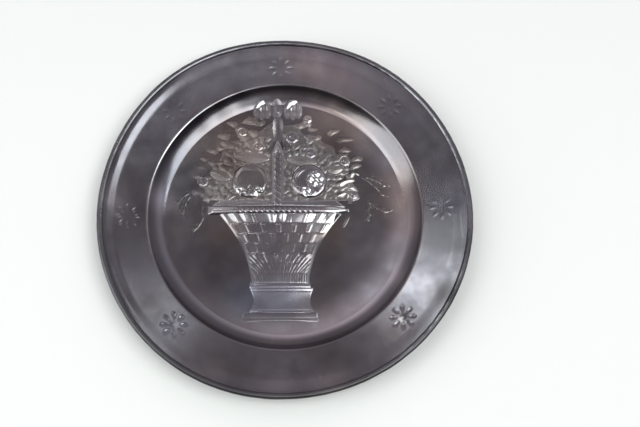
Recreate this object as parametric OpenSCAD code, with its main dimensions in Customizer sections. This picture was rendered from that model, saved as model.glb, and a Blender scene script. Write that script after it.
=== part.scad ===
// Round pewter plate with a flower basket in low relief on the floor of its well.
// The plate lies face up: +Z is up, +Y runs from the basket's foot to its blossoms, and the origin is
// the middle of the underside. The relief pieces are castings soldered flat on the floor.

/* [Plate] */
// Diameter over the edge wire
plate_d = 230; // [224:1:250]
// Thickness of the metal
sheet = 1.7; // [1.4:0.1:2.2]
// Diameter of the flat floor of the well
floor_d = 149; // [147:0.5:156]
// Width of the curved wall between the floor and the lip
booge_w = 9.2; // [8:0.1:11]
// Slope of the wall where it leaves the floor, in degrees
booge_foot_slope = 14; // [10:1:18]
// Slope of the wall just under the lip, in degrees
booge_top_slope = 52; // [46:1:60]
// Rounding of the lip on its underside
lip_under_r = 0.7; // [0.4:0.1:2]
// Slope of the rim, in degrees
rim_slope = 13; // [10:1:15]
// Distance from the edge of the rim in to the raised band inside the edge wire
swage_in = 8.6; // [8:0.1:10]
// Width of the raised band
swage_w = 5.2; // [4.4:0.1:6]
// Slope of the raised band, in degrees
swage_slope = 21; // [18:1:24]
// Rounding of the raised band's two bends
swage_r = 8; // [6:1:10]
// Slope of the rim between the raised band and the edge wire, in degrees
brim_slope = 8; // [5:1:12]

/* [Edge wire] */
// Thickness of the wire round the edge
wire_d = 3.4; // [3:0.1:4.5]
// Depth of the wire's slot, which takes the edge of the rim
wire_bite = 0.9; // [0.5:0.1:1.2]
// Height of the wire's middle over the middle of the sheet
wire_lift = 0.5; // [0.3:0.1:0.9]

/* [Rosettes] */
// Number of punched rosettes round the rim
rosettes = 8; // [4:1:12]
// Distance from the lip to the middle of a rosette
rosette_inset = 11; // [10:0.5:14]
// Turn of the whole ring of rosettes, in degrees
rosette_turn = 1.7; // [-10:0.1:10]
// Number of dents in a rosette
rosette_petals = 8; // [5:1:10]
// Distance from a rosette's middle to the middle of a dent
petal_ring = 5.7; // [4.8:0.1:6.5]
// Width of a dent
petal_d = 3; // [2.2:0.1:3.6]
// Depth of a dent
petal_depth = 0.35; // [0.2:0.05:0.5]

/* [Basket] */
// Sideways place of the basket's middle
basket_x = -3.3; // [-6:0.1:6]
// Height on the plate of the lip's lower edge
wall_top_y = 1.1; // [-2:0.1:3]
// Height of the woven wall
wall_h = 43.9; // [40:0.1:46]
// Width of the wall under the lip
wall_top_w = 76; // [66:0.5:80]
// Width of the wall above the band
wall_foot_w = 36; // [32:0.5:42]
// How sharply the wall flares
wall_flare = 1.9; // [1.5:0.1:2.4]
// Number of courses of weave
courses = 7; // [4:1:9]
// Depth of the groove between courses
course_groove = 0.35; // [0.2:0.05:0.5]
// How far the stakes stand above the bricks of the weave
stake_proud = 0.3; // [0.15:0.05:0.5]
// Thickness of the basket's pieces at their sides
side_t = 0.6; // [0.4:0.1:1]
// How far the basket's rounded front stands above its sides
crown = 1.7; // [1.2:0.1:2.4]

/* [Lip and inner rim] */
// Length of the lip
lip_w = 87.7; // [84:0.1:94]
// Sideways place of the lip's middle
lip_x = -4.3; // [-8:0.1:4]
// Width of the lip band
lip_band = 3.9; // [3:0.1:5]
// How far the lip stands above the wall
lip_proud = 0.4; // [0.2:0.1:0.8]
// Number of strands that show along the roped lip
lip_strands = 26; // [16:1:34]
// Width of the smooth strip above the lip
inner_rim_h = 4.6; // [3:0.1:5]
// Length of the smooth strip above the lip
inner_rim_w = 71; // [60:0.5:76]

/* [Foot] */
// Height of the band under the weave
band_h = 2.8; // [2:0.1:4]
// Width of the band under the weave
band_w = 37.2; // [34:0.1:44]
// Height of the foot
foot_h = 14.5; // [12:0.1:15.5]
// Width of the foot at its top
foot_top_w = 38.3; // [34:0.1:44]
// Width of the foot at its base
foot_base_w = 39.6; // [34:0.1:46]
// How far each side of the foot is drawn in at the waist
foot_waist = 2.3; // [1:0.1:3.5]
// Height of the plinth
plinth_h = 5.4; // [4:0.1:6]
// Width of the plinth
plinth_w = 45.6; // [42:0.1:48]
// Gap between castings that lie side by side
relief_gap = 0.4; // [0.2:0.1:0.6]

/* [Handle] */
// Sideways place of the handle
handle_x = -5; // [-7:0.1:-2]
// Width of the handle
handle_w = 6.8; // [5:0.1:8]
// Length of the handle above the lip, up to the finial
handle_h = 37; // [32:0.1:40]
// Length of the pointed finial
finial_h = 7.2; // [5:0.1:9]
// Height of the handle's middle above the floor
handle_t = 1.7; // [1.3:0.1:2.4]
// Turns of the twist
handle_turns = 11; // [6:1:14]

/* [Fruits] */
// Diameter of a fruit
fruit_d = 20.8; // [18:0.1:22]
// Height of a fruit's dome
fruit_t = 2; // [1.6:0.1:2.8]
// Distance between the middles of the two fruits
fruit_spread = 37; // [35:0.1:40]
// Distance from the inner rim up to a fruit
fruit_clear = 1.9; // [1:0.1:4]
// Thickness of the raised ring round a fruit
fruit_ring = 1.4; // [1:0.1:2]

/* [Flowers and leaves] */
// Height of the blossoms at the top
blossom_t = 1.9; // [1.6:0.1:2.6]
// How far the blossoms reach past the edge of the floor
blossom_lap = 3.6; // [2:0.1:4.5]
// Length of a blossom
blossom_l = 13; // [10:0.1:15]
// Height of the small flower heads
flower_t = 1.4; // [1:0.1:2]
// Reach of the fan of leaves to the sides
fan_side = 55; // [50:0.5:58]
// Reach of the fan of leaves to the top
fan_top = 62; // [56:0.5:63]
// Length of a leaf
leaf_l = 7.6; // [6.5:0.1:9]
// Width of a leaf
leaf_w = 4.2; // [3.4:0.1:5]
// Height of the topmost leaves
leaf_t = 1.4; // [1:0.1:2]
// Thickness of the ground that the leaves of a bank stand on
ground_t = 0.4; // [0.3:0.1:0.6]
// Distance between rows of leaves
leaf_row = 5.2; // [4.4:0.1:6]
// Height of the broad plain leaves
broad_t = 0.7; // [0.5:0.1:1]
// Height of the tendrils
tendril_t = 0.6; // [0.4:0.1:0.9]

/* [Hanger] */
// Distance from the rim's edge in to the pin line of the hanging loop
hanger_inset = 12.5; // [12:0.5:14]
// Thickness of the loop's wire
loop_d = 1.6; // [1.4:0.1:1.8]
// Length of the loop's straight sides
loop_straight = 8; // [7:0.5:12]
// Distance between the middles of the loop's two straight sides
loop_h = 7.4; // [7:0.1:7.6]
// Room between the loop's wire and what holds it
loop_play = 0.35; // [0.3:0.05:0.5]
// Thickness of the strap
strap_t = 0.8; // [0.6:0.1:1]
// Width of the strap
strap_w = 5; // [4:0.5:6]
// Length of each end of the strap that is soldered to the rim
strap_tab = 3; // [2:0.5:3.5]

/* [Hidden] */
$fn = 96;

pewter = "#5a585e";
worn_pewter = "#77757b";
brown_pewter = "#625854";

// Section of the plate: the upper side is a chain of arcs that meet at equal slopes
floor_r = floor_d / 2;
lip_r = lip_under_r + sheet;
booge_r = booge_w / (sin(booge_top_slope) - sin(booge_foot_slope));
booge_c = [floor_r - booge_r * sin(booge_foot_slope), sheet + booge_r * cos(booge_foot_slope)];
lip_c = booge_c + (booge_r + lip_r) * [sin(booge_top_slope), -cos(booge_top_slope)];
lip_end = lip_c + lip_r * [-sin(rim_slope), cos(rim_slope)];
rim_r = plate_d / 2 - wire_d + wire_bite;
under_slope = acos(booge_c.y / (booge_r + sheet));
swage_foot = [rim_r - swage_in, rim_z(rim_r - swage_in)];
swage_foot_c = swage_foot + swage_r * [-sin(rim_slope), cos(rim_slope)];
swage_rise = swage_foot_c + swage_r * [sin(swage_slope), -cos(swage_slope)];
swage_run = swage_w - swage_r * (2 * sin(swage_slope) - sin(rim_slope) - sin(brim_slope));
swage_top = swage_rise + swage_run * [1, tan(swage_slope)];
swage_top_c = swage_top + swage_r * [sin(swage_slope), -cos(swage_slope)];
brim = swage_top_c + swage_r * [-sin(brim_slope), cos(brim_slope)];
edge = brim + (rim_r - brim.x) * [1, tan(brim_slope)];
under_edge = edge + sheet * [sin(brim_slope), -cos(brim_slope)];
edge_mid = (edge + under_edge) / 2;
wire_r = plate_d / 2 - wire_d / 2;

// Points of an arc that hangs below its centre, from one slope to another
function hollow_arc(c, r, from, to, steps) =
    [for (i = [0:steps]) let (a = from + (to - from) * i / steps) c + r * [sin(a), -cos(a)]];

// Points of an arc that arches over its centre, from one slope to another
function round_arc(c, r, from, to, steps) =
    [for (i = [0:steps]) let (a = from + (to - from) * i / steps) c + r * [-sin(a), cos(a)]];

function upper_side() = concat(
    [[0, sheet]],
    hollow_arc(booge_c, booge_r, booge_foot_slope, booge_top_slope, 10),
    round_arc(lip_c, lip_r, booge_top_slope, rim_slope, 6),
    hollow_arc(swage_foot_c, swage_r, rim_slope, swage_slope, 4),
    round_arc(swage_top_c, swage_r, swage_slope, brim_slope, 4),
    [edge]);

function under_side() = concat(
    [under_edge],
    round_arc(swage_top_c, swage_r - sheet, brim_slope, swage_slope, 4),
    hollow_arc(swage_foot_c, swage_r + sheet, swage_slope, rim_slope, 4),
    round_arc(lip_c, lip_under_r, rim_slope, booge_top_slope, 6),
    hollow_arc(booge_c, booge_r + sheet, booge_top_slope, under_slope, 10),
    [[0, 0]]);

// Height of the rim's upper side on its straight slope
function rim_z(r) = lip_end.y + (r - lip_end.x) * tan(rim_slope);

// Places of the relief, from the lip up and down
basket_y = wall_top_y - wall_h;
band_y = basket_y - relief_gap;
foot_y = band_y - band_h - relief_gap;
plinth_y = foot_y - foot_h - relief_gap;
lip_y = wall_top_y + relief_gap + lip_band / 2;
lip_left = lip_x - lip_w / 2;
lip_right = lip_x + lip_w / 2;
inner_rim_y = lip_y + lip_band / 2 + relief_gap;
handle_y = inner_rim_y;
fruit_y = inner_rim_y + inner_rim_h + fruit_clear + fruit_d / 2;
fruit_x = basket_x - 0.5;
fruit_left_at = [fruit_x - fruit_spread / 2, fruit_y];
fruit_right_at = [fruit_x + fruit_spread / 2, fruit_y];
fan_at = [basket_x - 0.7, lip_y + lip_band / 2 + 1];
blossom_y = floor_r + blossom_lap - blossom_l;

// Middles of the inner rim and the foot, which don't stand quite in line with the wall
inner_rim_x = basket_x + 5;
foot_x = basket_x + 1;

// Blossoms at the top: sideways place from the handle, width, and how much higher each one starts
blooms = [[-10, 12, 0], [0, 8, 1.6], [9.6, 12.6, -0.6]];

// Stem that carries the blossoms: its width and how far it runs in under them
bloom_stem_w = 1.8;
bloom_stem_lap = 4;

// Flower heads: sideways place, height on the plate, radius and number of petals
flowers = [
    [4, 52.2, 4.6, 8], [14, 64.5, 3, 6], [15.9, 41.3, 3.6, 6], [37.5, 36, 3.6, 7], [42.6, 13.5, 3.2, 6],
    [-17, 46, 3.2, 6], [-27.3, 55.6, 3.2, 6], [-51.5, 22, 3.3, 7]
];

// Broad plain leaves: place of the stalk, heading, length and width
broads = [
    [[-10, 37.6], 176, 23, 7.6], [[-34.5, 24], 160, 14, 7],
    [[0.5, 37.6], -8, 20, 6.6], [[26.5, 29.5], 10, 10, 6]
];

// Each fan of leaves runs from one direction to another
left_fan = [96, 179];
right_fan = [84, 3];
fan_rows = 5;
fan_leaves = 16;
leaf_turn = 44;
leaf_stray = 2.4;
ground_in = 9;
ground_back = 1.3;
ground_steps = 24;

// A tendril's stem, its leaflets and how far they turn from it
stem_w = 0.9;
leaflets = 5;
leaflet_l = 3.6;
leaflet_w = 1.6;
leaflet_turn = 40;
leaflet_t = tendril_t * 1.2;

// Tendrils: place of the root, heading, length and bend
trails = [
    [leaf_tip(right_fan, 12), -5, 14, -40], [leaf_tip(right_fan, 13), -28, 17, -30],
    [leaf_tip(right_fan, 15), -48, 14, 30], [leaf_tip(right_fan, 15), -78, 13, -25],
    [leaf_tip(left_fan, 14), 205, 9, 45], [leaf_tip(left_fan, 15), 235, 12, 30],
    [[lip_left - 2.85, lip_y - 4.65], 252, 10, -30]
];

// Leaves that hang beside the lip: place of the stalk, heading, length and width
pendants = [
    [[lip_left - 2.65, lip_y + 3.75], 268, 7.5, 3.6], [[lip_right + 0.25, lip_y - 3.05], 242, 10, 2.2]
];
cut_h = 12;

// Solid between a grid of points and the floor under them; seen from above, a row's points and the
// rows turn clockwise, and the first and last rows bulge outward
module casting(grid) {
    rows = len(grid) - 1;
    cols = len(grid[0]) - 1;
    top = (rows + 1) * (cols + 1);
    function at(i, j) = i * (cols + 1) + j;
    function left(i) = top + 2 * i;
    function right(i) = top + 2 * i + 1;
    points = concat(
        [for (row = grid, p = row) p],
        [for (row = grid, p = [row[0], row[cols]]) [p.x, p.y, sheet]]);
    faces = concat(
        [for (i = [0:rows - 1], j = [0:cols - 1]) [at(i, j), at(i, j + 1), at(i + 1, j + 1)]],
        [for (i = [0:rows - 1], j = [0:cols - 1]) [at(i, j), at(i + 1, j + 1), at(i + 1, j)]],
        [for (i = [0:rows - 1]) [left(i), left(i + 1), right(i + 1), right(i)]],
        [for (i = [0:rows - 1]) [at(i, 0), at(i + 1, 0), left(i + 1), left(i)]],
        [for (i = [0:rows - 1]) [at(i + 1, cols), at(i, cols), right(i), right(i + 1)]],
        [concat([for (j = [cols:-1:0]) at(0, j)], [left(0), right(0)])],
        [concat([for (j = [0:cols]) at(rows, j)], [right(rows), left(rows)])]);
    polyhedron(points, faces);
}

// Height of the basket's rounded front, from its left side (-1) to its right side (1)
front_turn = 84;
function front_z(u) = sheet + side_t + crown * cos(front_turn * u);

// One row of a rounded basket piece: middle, half width, height of the row and rise over the common front
function rounded_row(x, half, y, rise, cols = 16) =
    [for (j = [0:cols]) let (u = 2 * j / cols - 1) [x + half * u, y, front_z(u) + rise]];

function wall_half(v) = wall_foot_w / 2 + (wall_top_w - wall_foot_w) / 2 * pow(1 - v, wall_flare);

// Flat-bottomed leaf along +X, with a low edge and a ridge
module leaf(long, wide, high) {
    edge = high * 0.3;
    outline = [[0, 0], [0.28, -0.45], [0.7, -0.4], [1, 0], [0.7, 0.4], [0.28, 0.45]];
    ridge = [[0.3 * long, 0, high], [0.68 * long, 0, high * 0.9]];
    hull()
        polyhedron(
            concat(
                [for (p = outline) [long * p.x, wide * p.y, 0]],
                [for (p = outline) [long * p.x, wide * p.y, edge]],
                ridge),
            concat(
                [[0, 1, 2, 3, 4, 5]],
                [for (i = [0:5]) [i, i + 6, (i + 1) % 6 + 6, (i + 1) % 6]],
                [[6, 12, 7], [7, 12, 13, 8], [8, 13, 9], [9, 13, 10], [10, 13, 12, 11], [11, 12, 6]]));
}

// Even spread of numbers between -0.5 and 0.5, so that the leaves don't stand in step
function scatter(i, k) = (i * 0.618 + k * 0.414) % 1 - 0.5;

function fan_reach(a) = fan_side + (fan_top - fan_side) * pow(sin(a), 2);

// Place of a leaf's stalk and the leaf's heading in a fan, by its number and its row
function leaf_side(fan, i, k) =
    fan[0] + (fan[1] - fan[0]) * (i + 0.5 + 0.5 * scatter(i, k)) / (fan_leaves - 2 * k);
function leaf_foot(fan, i, k) =
    let (a = leaf_side(fan, i, k), r = fan_reach(a) - leaf_row * k - leaf_l + leaf_stray * scatter(i, k + 3))
    fan_at + r * [cos(a), sin(a)];
function leaf_heading(fan, i, k) = leaf_side(fan, i, k) + leaf_turn * scatter(i, k + 7);

// Point just past the tip of a leaf in the outermost row
function leaf_tip(fan, i) =
    let (a = leaf_heading(fan, i, 0))
    leaf_foot(fan, i, 0) + (leaf_l + stem_w / 2 + relief_gap) * [cos(a), sin(a)];

// Rows of leaves on the ground of a fan; the inner rows lie over the outer ones
module leaf_fan(fan) {
    sides = [for (i = [0:ground_steps]) fan[0] + (fan[1] - fan[0]) * i / ground_steps];
    translate([fan_at.x, fan_at.y, sheet])
        linear_extrude(ground_t)
            polygon(concat(
                [for (a = sides) (fan_reach(a) - ground_back) * [cos(a), sin(a)]],
                [for (i = [ground_steps:-1:0]) ground_in * [cos(sides[i]), sin(sides[i])]]));
    for (k = [0:fan_rows - 1], i = [0:fan_leaves - 2 * k - 1]) {
        foot = leaf_foot(fan, i, k);
        translate([foot.x, foot.y, sheet])
            rotate(leaf_heading(fan, i, k))
                leaf(leaf_l, leaf_w, leaf_t * (0.62 + 0.38 * k / (fan_rows - 1)));
    }
}

// Round flower: a ring of petals with notched ends about a raised boss, as one closed solid
module flower(r, petals) {
    steps = 4 * petals;
    // each ring: its radius, the depth of its notches, its height, and how far the petals rise in it
    rings = [
        [0.22, 0, 1, 0], [0.38, 0, 0.86, 0], [0.46, 0, 0.5, 0.1],
        [0.74, 0.06, 0.6, 0.3], [1, 0.16, 0.2, 0.15]
    ];
    last = len(rings);
    function wave(j) = (1 + cos(360 * petals * j / steps)) / 2;
    function ring(g) = [for (j = [0:steps - 1])
        let (q = r * (g[0] - g[1] * (1 - wave(j))), a = 360 * j / steps)
        [q * cos(a), q * sin(a), flower_t * (g[2] + g[3] * wave(j))]];
    function at(k, j) = k * steps + j % steps;
    top = (last + 1) * steps;
    points = concat(
        [for (g = rings, p = ring(g)) p],
        [for (p = ring(rings[last - 1])) [p.x, p.y, 0]],
        [[0, 0, flower_t], [0, 0, 0]]);
    faces = concat(
        [for (j = [0:steps - 1]) [top, at(0, j + 1), at(0, j)]],
        [for (k = [0:last - 1], j = [0:steps - 1]) [at(k, j), at(k, j + 1), at(k + 1, j + 1)]],
        [for (k = [0:last - 1], j = [0:steps - 1]) [at(k, j), at(k + 1, j + 1), at(k + 1, j)]],
        [for (j = [0:steps - 1]) [top + 1, at(last, j), at(last, j + 1)]]);
    polyhedron(points, faces);
}

// Blossom that opens upward, of five petals
module blossom(wide, long) {
    for (i = [-2:2])
        rotate(90 + i * 13)
            leaf(long * (1 - 0.03 * abs(i)), wide * 0.5, blossom_t * (1 - 0.12 * abs(i)));
    translate([-wide * 0.2, 0, 0])
        cube([wide * 0.4, long * 0.3, blossom_t * 0.6]);
}

// Point on a bent tendril, at a share of its length
function trail_at(trail, t) =
    let (a = trail[1], bend = trail[3], r = trail[2] / (bend * PI / 180))
    trail[0] + r * [sin(a + bend * t) - sin(a), cos(a) - cos(a + bend * t)];

// Outlines that keep lower castings clear of higher ones
module wall_outline() {
    steps = 12;
    polygon(concat(
        [for (i = [0:steps]) [basket_x - wall_half(i / steps), wall_top_y - wall_h * i / steps]],
        [for (i = [steps:-1:0]) [basket_x + wall_half(i / steps), wall_top_y - wall_h * i / steps]]));
}

module lip_outline() {
    translate([lip_left, lip_y - lip_band / 2 - relief_gap])
        square([lip_w, lip_band + inner_rim_h + 2 * relief_gap]);
}

module handle_outline() {
    translate([handle_x - handle_w / 2, handle_y])
        square([handle_w, handle_h + finial_h]);
}

module fruit_outline() {
    for (at = [fruit_left_at, fruit_right_at])
        translate(at)
            circle(d = fruit_d, $fn = 48);
}

module flower_outline() {
    for (f = flowers)
        translate([f[0], f[1]])
            circle(r = f[2], $fn = 24);
}

module broad_outline() {
    for (b = broads)
        translate(b[0])
            rotate(b[1])
                translate([b[2] / 2, 0])
                    scale([b[2] / 2, b[3] / 2])
                        circle(1, $fn = 24);
}

// Space above the floor over an outline, with the gap round it
module room_over() {
    translate([0, 0, sheet - 1])
        linear_extrude(cut_h)
            offset(delta = relief_gap)
                children();
}

// Everything under the plate's upper side
module under_plate() {
    far = plate_d / 2 + 5;
    rotate_extrude($fn = 120)
        polygon(concat(upper_side(), [[far, rim_z(far)], [far, -5], [0, -5]]));
}

module plate() {
    dent_r = (pow(petal_d / 2, 2) + pow(petal_depth, 2)) / (2 * petal_depth);
    ring_r = lip_end.x + rosette_inset;
    color(pewter)
        difference() {
            rotate_extrude()
                polygon(concat(upper_side(), under_side()));
            for (i = [0:rosettes - 1], j = [0:rosette_petals - 1])
                rotate(90 + rosette_turn + 360 * i / rosettes)
                    translate([ring_r, 0, rim_z(ring_r)])
                        rotate([0, -rim_slope, 0])
                            rotate(360 * j / rosette_petals)
                                translate([petal_ring, 0, dent_r - petal_depth])
                                    sphere(dent_r, $fn = 32);
        }
}

module edge_wire() {
    color(worn_pewter)
        rotate_extrude()
            difference() {
                translate([wire_r, edge_mid.y + wire_lift])
                    circle(d = wire_d);
                polygon(concat(upper_side(), under_side()));
            }
}

module basket_wall() {
    // each course is a strip of bricks between two grooves, with a stake every few columns of the grid;
    // the stakes of one course stand over the middles of the bricks below
    cols = 40;
    stake_cols = 6;
    shares = [for (k = [0:courses - 1], s = [0, 0.16, 0.84]) [(k + s) / courses, s == 0, k]];
    rows = concat(shares, [[1, true, courses]]);
    function is_stake(j, k) = (j - cols / 2 + (k % 2 == 0 ? stake_cols / 2 : 0)) % stake_cols == 0;
    function rise(j, row) = row[1] ? -course_groove : is_stake(j, row[2]) ? stake_proud : 0;
    color(worn_pewter)
        casting([for (row = rows)
            let (half = wall_half(row[0]), y = wall_top_y - wall_h * row[0])
            [for (j = [0:cols])
                let (u = 2 * j / cols - 1)
                [basket_x + half * u, y, front_z(u) + rise(j, row)]]]);
}

module basket_lip() {
    stations = 2 * lip_strands;
    section = [-1, -0.7, 0, 0.7, 1];
    function half_band(u) = lip_band / 2 * min(1, (1 - u) * 4 + 0.1);
    function height(u, s) =
        side_t + (crown * cos(front_turn * u) + lip_proud) * (1 - 0.6 * s * s)
            * (1 + 0.07 * sin(360 * (lip_strands * u / 2 + 0.25 * s) + 45));
    color(worn_pewter)
        casting([for (i = [0:stations]) let (u = 2 * i / stations - 1)
            [for (s = section) [lip_x + lip_w / 2 * u, lip_y + half_band(u) * s, sheet + height(u, s)]]]);
}

module basket_inner_rim() {
    cols = 6;
    rows = [[1, 0.86, 0.5], [0.7, 0.92, 1], [0.15, 0.98, 1.1], [0, 1, 0.6]];
    // the strip runs in two lengths, one each side of the handle
    function piece(side) = [for (row = rows) [for (j = [0:cols])
        let (near = handle_x - inner_rim_x + side * (handle_w / 2 + relief_gap),
             far = side * inner_rim_w / 2 * row[1],
             t = side > 0 ? j / cols : 1 - j / cols)
        [inner_rim_x + near + (far - near) * t, inner_rim_y + inner_rim_h * row[0],
         sheet + side_t
             + crown * 0.5 * row[2] * cos(front_turn * (near + (far - near) * t) / (inner_rim_w / 2))]]];
    color(pewter)
        for (side = [-1, 1])
            casting(piece(side));
}

module basket_band() {
    // each line across the band: its share of the height and its rise over the common front
    shares = [[0, -0.4], [0.22, 0], [0.78, 0], [1, -0.4]];
    color(worn_pewter)
        casting([for (s = shares) rounded_row(basket_x, band_w / 2, band_y - band_h * s[0], s[1])]);
}

module basket_foot() {
    steps = 10;
    hollow = 0.15;
    function half(v) = foot_top_w / 2 + (foot_base_w - foot_top_w) / 2 * v - foot_waist * sin(180 * v);
    color(worn_pewter)
        casting([for (i = [0:steps]) let (v = i / steps)
            rounded_row(foot_x, half(v), foot_y - foot_h * v, -hollow * foot_waist * sin(180 * v))]);
}

module basket_plinth() {
    // each step: its share of the height, its share of the width, and its rise over the common front
    steps = [
        [0, 0.97, -0.35], [0.12, 0.985, 0], [0.5, 0.985, 0], [0.58, 1, -0.5], [0.7, 1, -0.25], [1, 1, -0.45]
    ];
    color(pewter)
        casting([for (s = steps)
            rounded_row(basket_x, plinth_w / 2 * s[1], plinth_y - plinth_h * s[0], s[2])]);
}

module basket_handle() {
    rows = 3 * handle_turns;
    cols = 6;
    function bar(y, half, high, turn) =
        [for (j = [0:cols]) let (u = 2 * j / cols - 1)
            [handle_x + half * u, y,
             sheet + (0.3 + 0.7 * cos(80 * u)) * high * (1 + 0.1 * sin(360 * turn + 70 * u))]];
    finial = [[1, 0.06, 0.25], [0.55, 0.55, 0.8], [0.12, 1.06, 1], [0, 1.06, 0.95]];
    color(pewter)
        casting(concat(
            [for (f = finial)
                bar(handle_y + handle_h + finial_h * f[0], handle_w / 2 * f[1], handle_t * f[2], 0)],
            [for (i = [rows - 1:-1:0])
                bar(handle_y + handle_h * i / rows, handle_w / 2, handle_t, i / 3)]));
}

// Domed fruit with a raised ring round it and a boss of seeds in its lower half
module fruit() {
    base_r = fruit_d / 2;
    dome_r = (base_r * base_r + fruit_t * fruit_t) / (2 * fruit_t);
    boss_r = base_r * 0.55;
    boss_top = fruit_t + 0.4;
    boss_dome = (boss_r * boss_r + boss_top * boss_top) / (2 * boss_top);
    ring_mid = base_r - fruit_ring / 2;
    intersection() {
        union() {
            translate([0, 0, fruit_t - dome_r])
                sphere(dome_r);
            translate([0, -base_r * 0.34, boss_top - boss_dome])
                sphere(boss_dome);
            rotate_extrude()
                translate([ring_mid, fruit_t * 0.3])
                    circle(d = fruit_ring);
        }
        cylinder(r = base_r, h = fruit_t * 2);
    }
}

module fruit_left() {
    color(pewter)
        translate([fruit_left_at.x, fruit_left_at.y, sheet])
            fruit();
}

module fruit_right() {
    color(worn_pewter)
        translate([fruit_right_at.x, fruit_right_at.y, sheet])
            fruit();
}

// The three blossoms and the stem that carries them
module blossoms() {
    stem_y = handle_y + handle_h + finial_h + relief_gap;
    for (b = blooms)
        translate([handle_x + b[0], blossom_y + b[2], sheet])
            blossom(b[1], blossom_l - b[2]);
    translate([handle_x - bloom_stem_w / 2, stem_y, sheet])
        cube([bloom_stem_w, blossom_y - stem_y + bloom_stem_lap, blossom_t * 0.5]);
}

module top_blossoms() {
    color(worn_pewter)
        difference() {
            blossoms();
            under_plate();
            room_over() flower_outline();
        }
}

module flower_heads() {
    color(pewter)
        for (f = flowers)
            translate([f[0], f[1], sheet])
                flower(f[2], f[3]);
}

module broad_leaves() {
    color(brown_pewter)
        for (b = broads)
            translate([b[0].x, b[0].y, sheet])
                rotate(b[1])
                    leaf(b[2], b[3], broad_t);
}

module all_higher() {
    room_over() {
        wall_outline();
        lip_outline();
        handle_outline();
        fruit_outline();
        flower_outline();
        broad_outline();
    }
    blossoms();
}

module leaves_left() {
    difference() {
        leaf_fan(left_fan);
        all_higher();
        translate([handle_x, -plate_d / 2, 0])
            cube([plate_d, plate_d, cut_h]);
    }
}

module leaves_right() {
    difference() {
        leaf_fan(right_fan);
        all_higher();
        translate([handle_x - plate_d, -plate_d / 2, 0])
            cube([plate_d, plate_d, cut_h]);
    }
}

module leaf_bank_left() {
    color(brown_pewter)
        leaves_left();
}

module leaf_bank_right() {
    color(brown_pewter)
        leaves_right();
}

module tendrils() {
    color(pewter)
        difference() {
            union() {
                for (trail = trails, i = [0:leaflets - 1]) {
                    from = trail_at(trail, i / leaflets);
                    to = trail_at(trail, (i + 1) / leaflets);
                    heading = trail[1] + trail[3] * (i + 0.5) / leaflets;
                    side = i % 2 == 0 ? 1 : -1;
                    hull()
                        for (p = [from, to])
                            translate([p.x - stem_w / 2, p.y - stem_w / 2, sheet])
                                cube([stem_w, stem_w, tendril_t]);
                    translate([to.x, to.y, sheet])
                        rotate(heading + leaflet_turn * side)
                            leaf(leaflet_l, leaflet_w, leaflet_t);
                }
                for (p = pendants)
                    translate([p[0].x, p[0].y, sheet])
                        rotate(p[1])
                            leaf(p[2], p[3], leaflet_t);
            }
            all_higher();
            leaves_left();
            leaves_right();
        }
}

// The loop hangs from a straight top bar, which lies in the bend of the strap
hanger_y = rim_r - hanger_inset;
bend_r = loop_d / 2 + loop_play;
pin_z = rim_z(hanger_y - bend_r) - sheet / cos(rim_slope) - bend_r;

module hanger_strap() {
    tab_y = bend_r + strap_t + strap_tab;
    color(pewter)
        difference() {
            translate([-strap_w / 2, hanger_y, pin_z])
                rotate([90, 0, 90])
                    linear_extrude(strap_w)
                        difference() {
                            union() {
                                circle(bend_r + strap_t);
                                translate([-bend_r - strap_t, 0])
                                    square([2 * (bend_r + strap_t), cut_h]);
                                rotate(rim_slope)
                                    translate([-tab_y, bend_r - strap_t])
                                        square([2 * tab_y, cut_h]);
                            }
                            circle(bend_r);
                            translate([-bend_r, 0])
                                square([2 * bend_r, cut_h]);
                        }
            rotate_extrude()
                polygon(concat(
                    under_side(),
                    [[0, cut_h * 3], [plate_d, cut_h * 3], [plate_d, edge_mid.y]]));
        }
}

module hanging_loop() {
    color(worn_pewter)
        translate([0, hanger_y, pin_z]) {
            for (z = [0, -loop_h])
                translate([-loop_straight / 2, 0, z])
                    rotate([0, 90, 0])
                        cylinder(d = loop_d, h = loop_straight);
            for (side = [-1, 1])
                translate([side * loop_straight / 2, 0, -loop_h / 2])
                    rotate([90, side > 0 ? 90 : -90, 0])
                        rotate_extrude(angle = 180)
                            translate([loop_h / 2, 0])
                                circle(d = loop_d);
        }
}

plate();
edge_wire();
basket_wall();
basket_lip();
basket_inner_rim();
basket_band();
basket_foot();
basket_plinth();
basket_handle();
fruit_left();
fruit_right();
top_blossoms();
flower_heads();
broad_leaves();
leaf_bank_left();
leaf_bank_right();
tendrils();
hanger_strap();
hanging_loop();
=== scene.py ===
# Pewter plate with a flower basket in relief: the looks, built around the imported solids
import math

import bpy
import numpy as np
from mathutils import Matrix, Vector


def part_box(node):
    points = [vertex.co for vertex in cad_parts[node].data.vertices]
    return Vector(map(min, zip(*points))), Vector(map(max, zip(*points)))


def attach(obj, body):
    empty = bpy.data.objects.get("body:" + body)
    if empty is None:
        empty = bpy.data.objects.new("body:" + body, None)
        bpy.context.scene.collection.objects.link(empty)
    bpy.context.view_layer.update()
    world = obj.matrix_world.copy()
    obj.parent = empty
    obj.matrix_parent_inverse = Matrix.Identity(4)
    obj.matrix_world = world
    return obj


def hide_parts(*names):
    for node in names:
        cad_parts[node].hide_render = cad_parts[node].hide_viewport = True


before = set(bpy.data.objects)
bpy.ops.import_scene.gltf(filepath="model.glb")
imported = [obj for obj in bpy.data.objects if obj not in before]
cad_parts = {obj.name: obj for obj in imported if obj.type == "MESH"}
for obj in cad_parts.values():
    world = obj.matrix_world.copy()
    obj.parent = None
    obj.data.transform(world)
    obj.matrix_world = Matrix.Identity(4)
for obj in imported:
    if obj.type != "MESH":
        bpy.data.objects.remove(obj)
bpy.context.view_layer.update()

mm = 0.001
sheet = 1.7
floor_r = 74.5
booge_w = 9.2
booge_foot = math.radians(16.5)
booge_top = math.radians(50)
shoulder_under_r = 0.7
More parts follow.
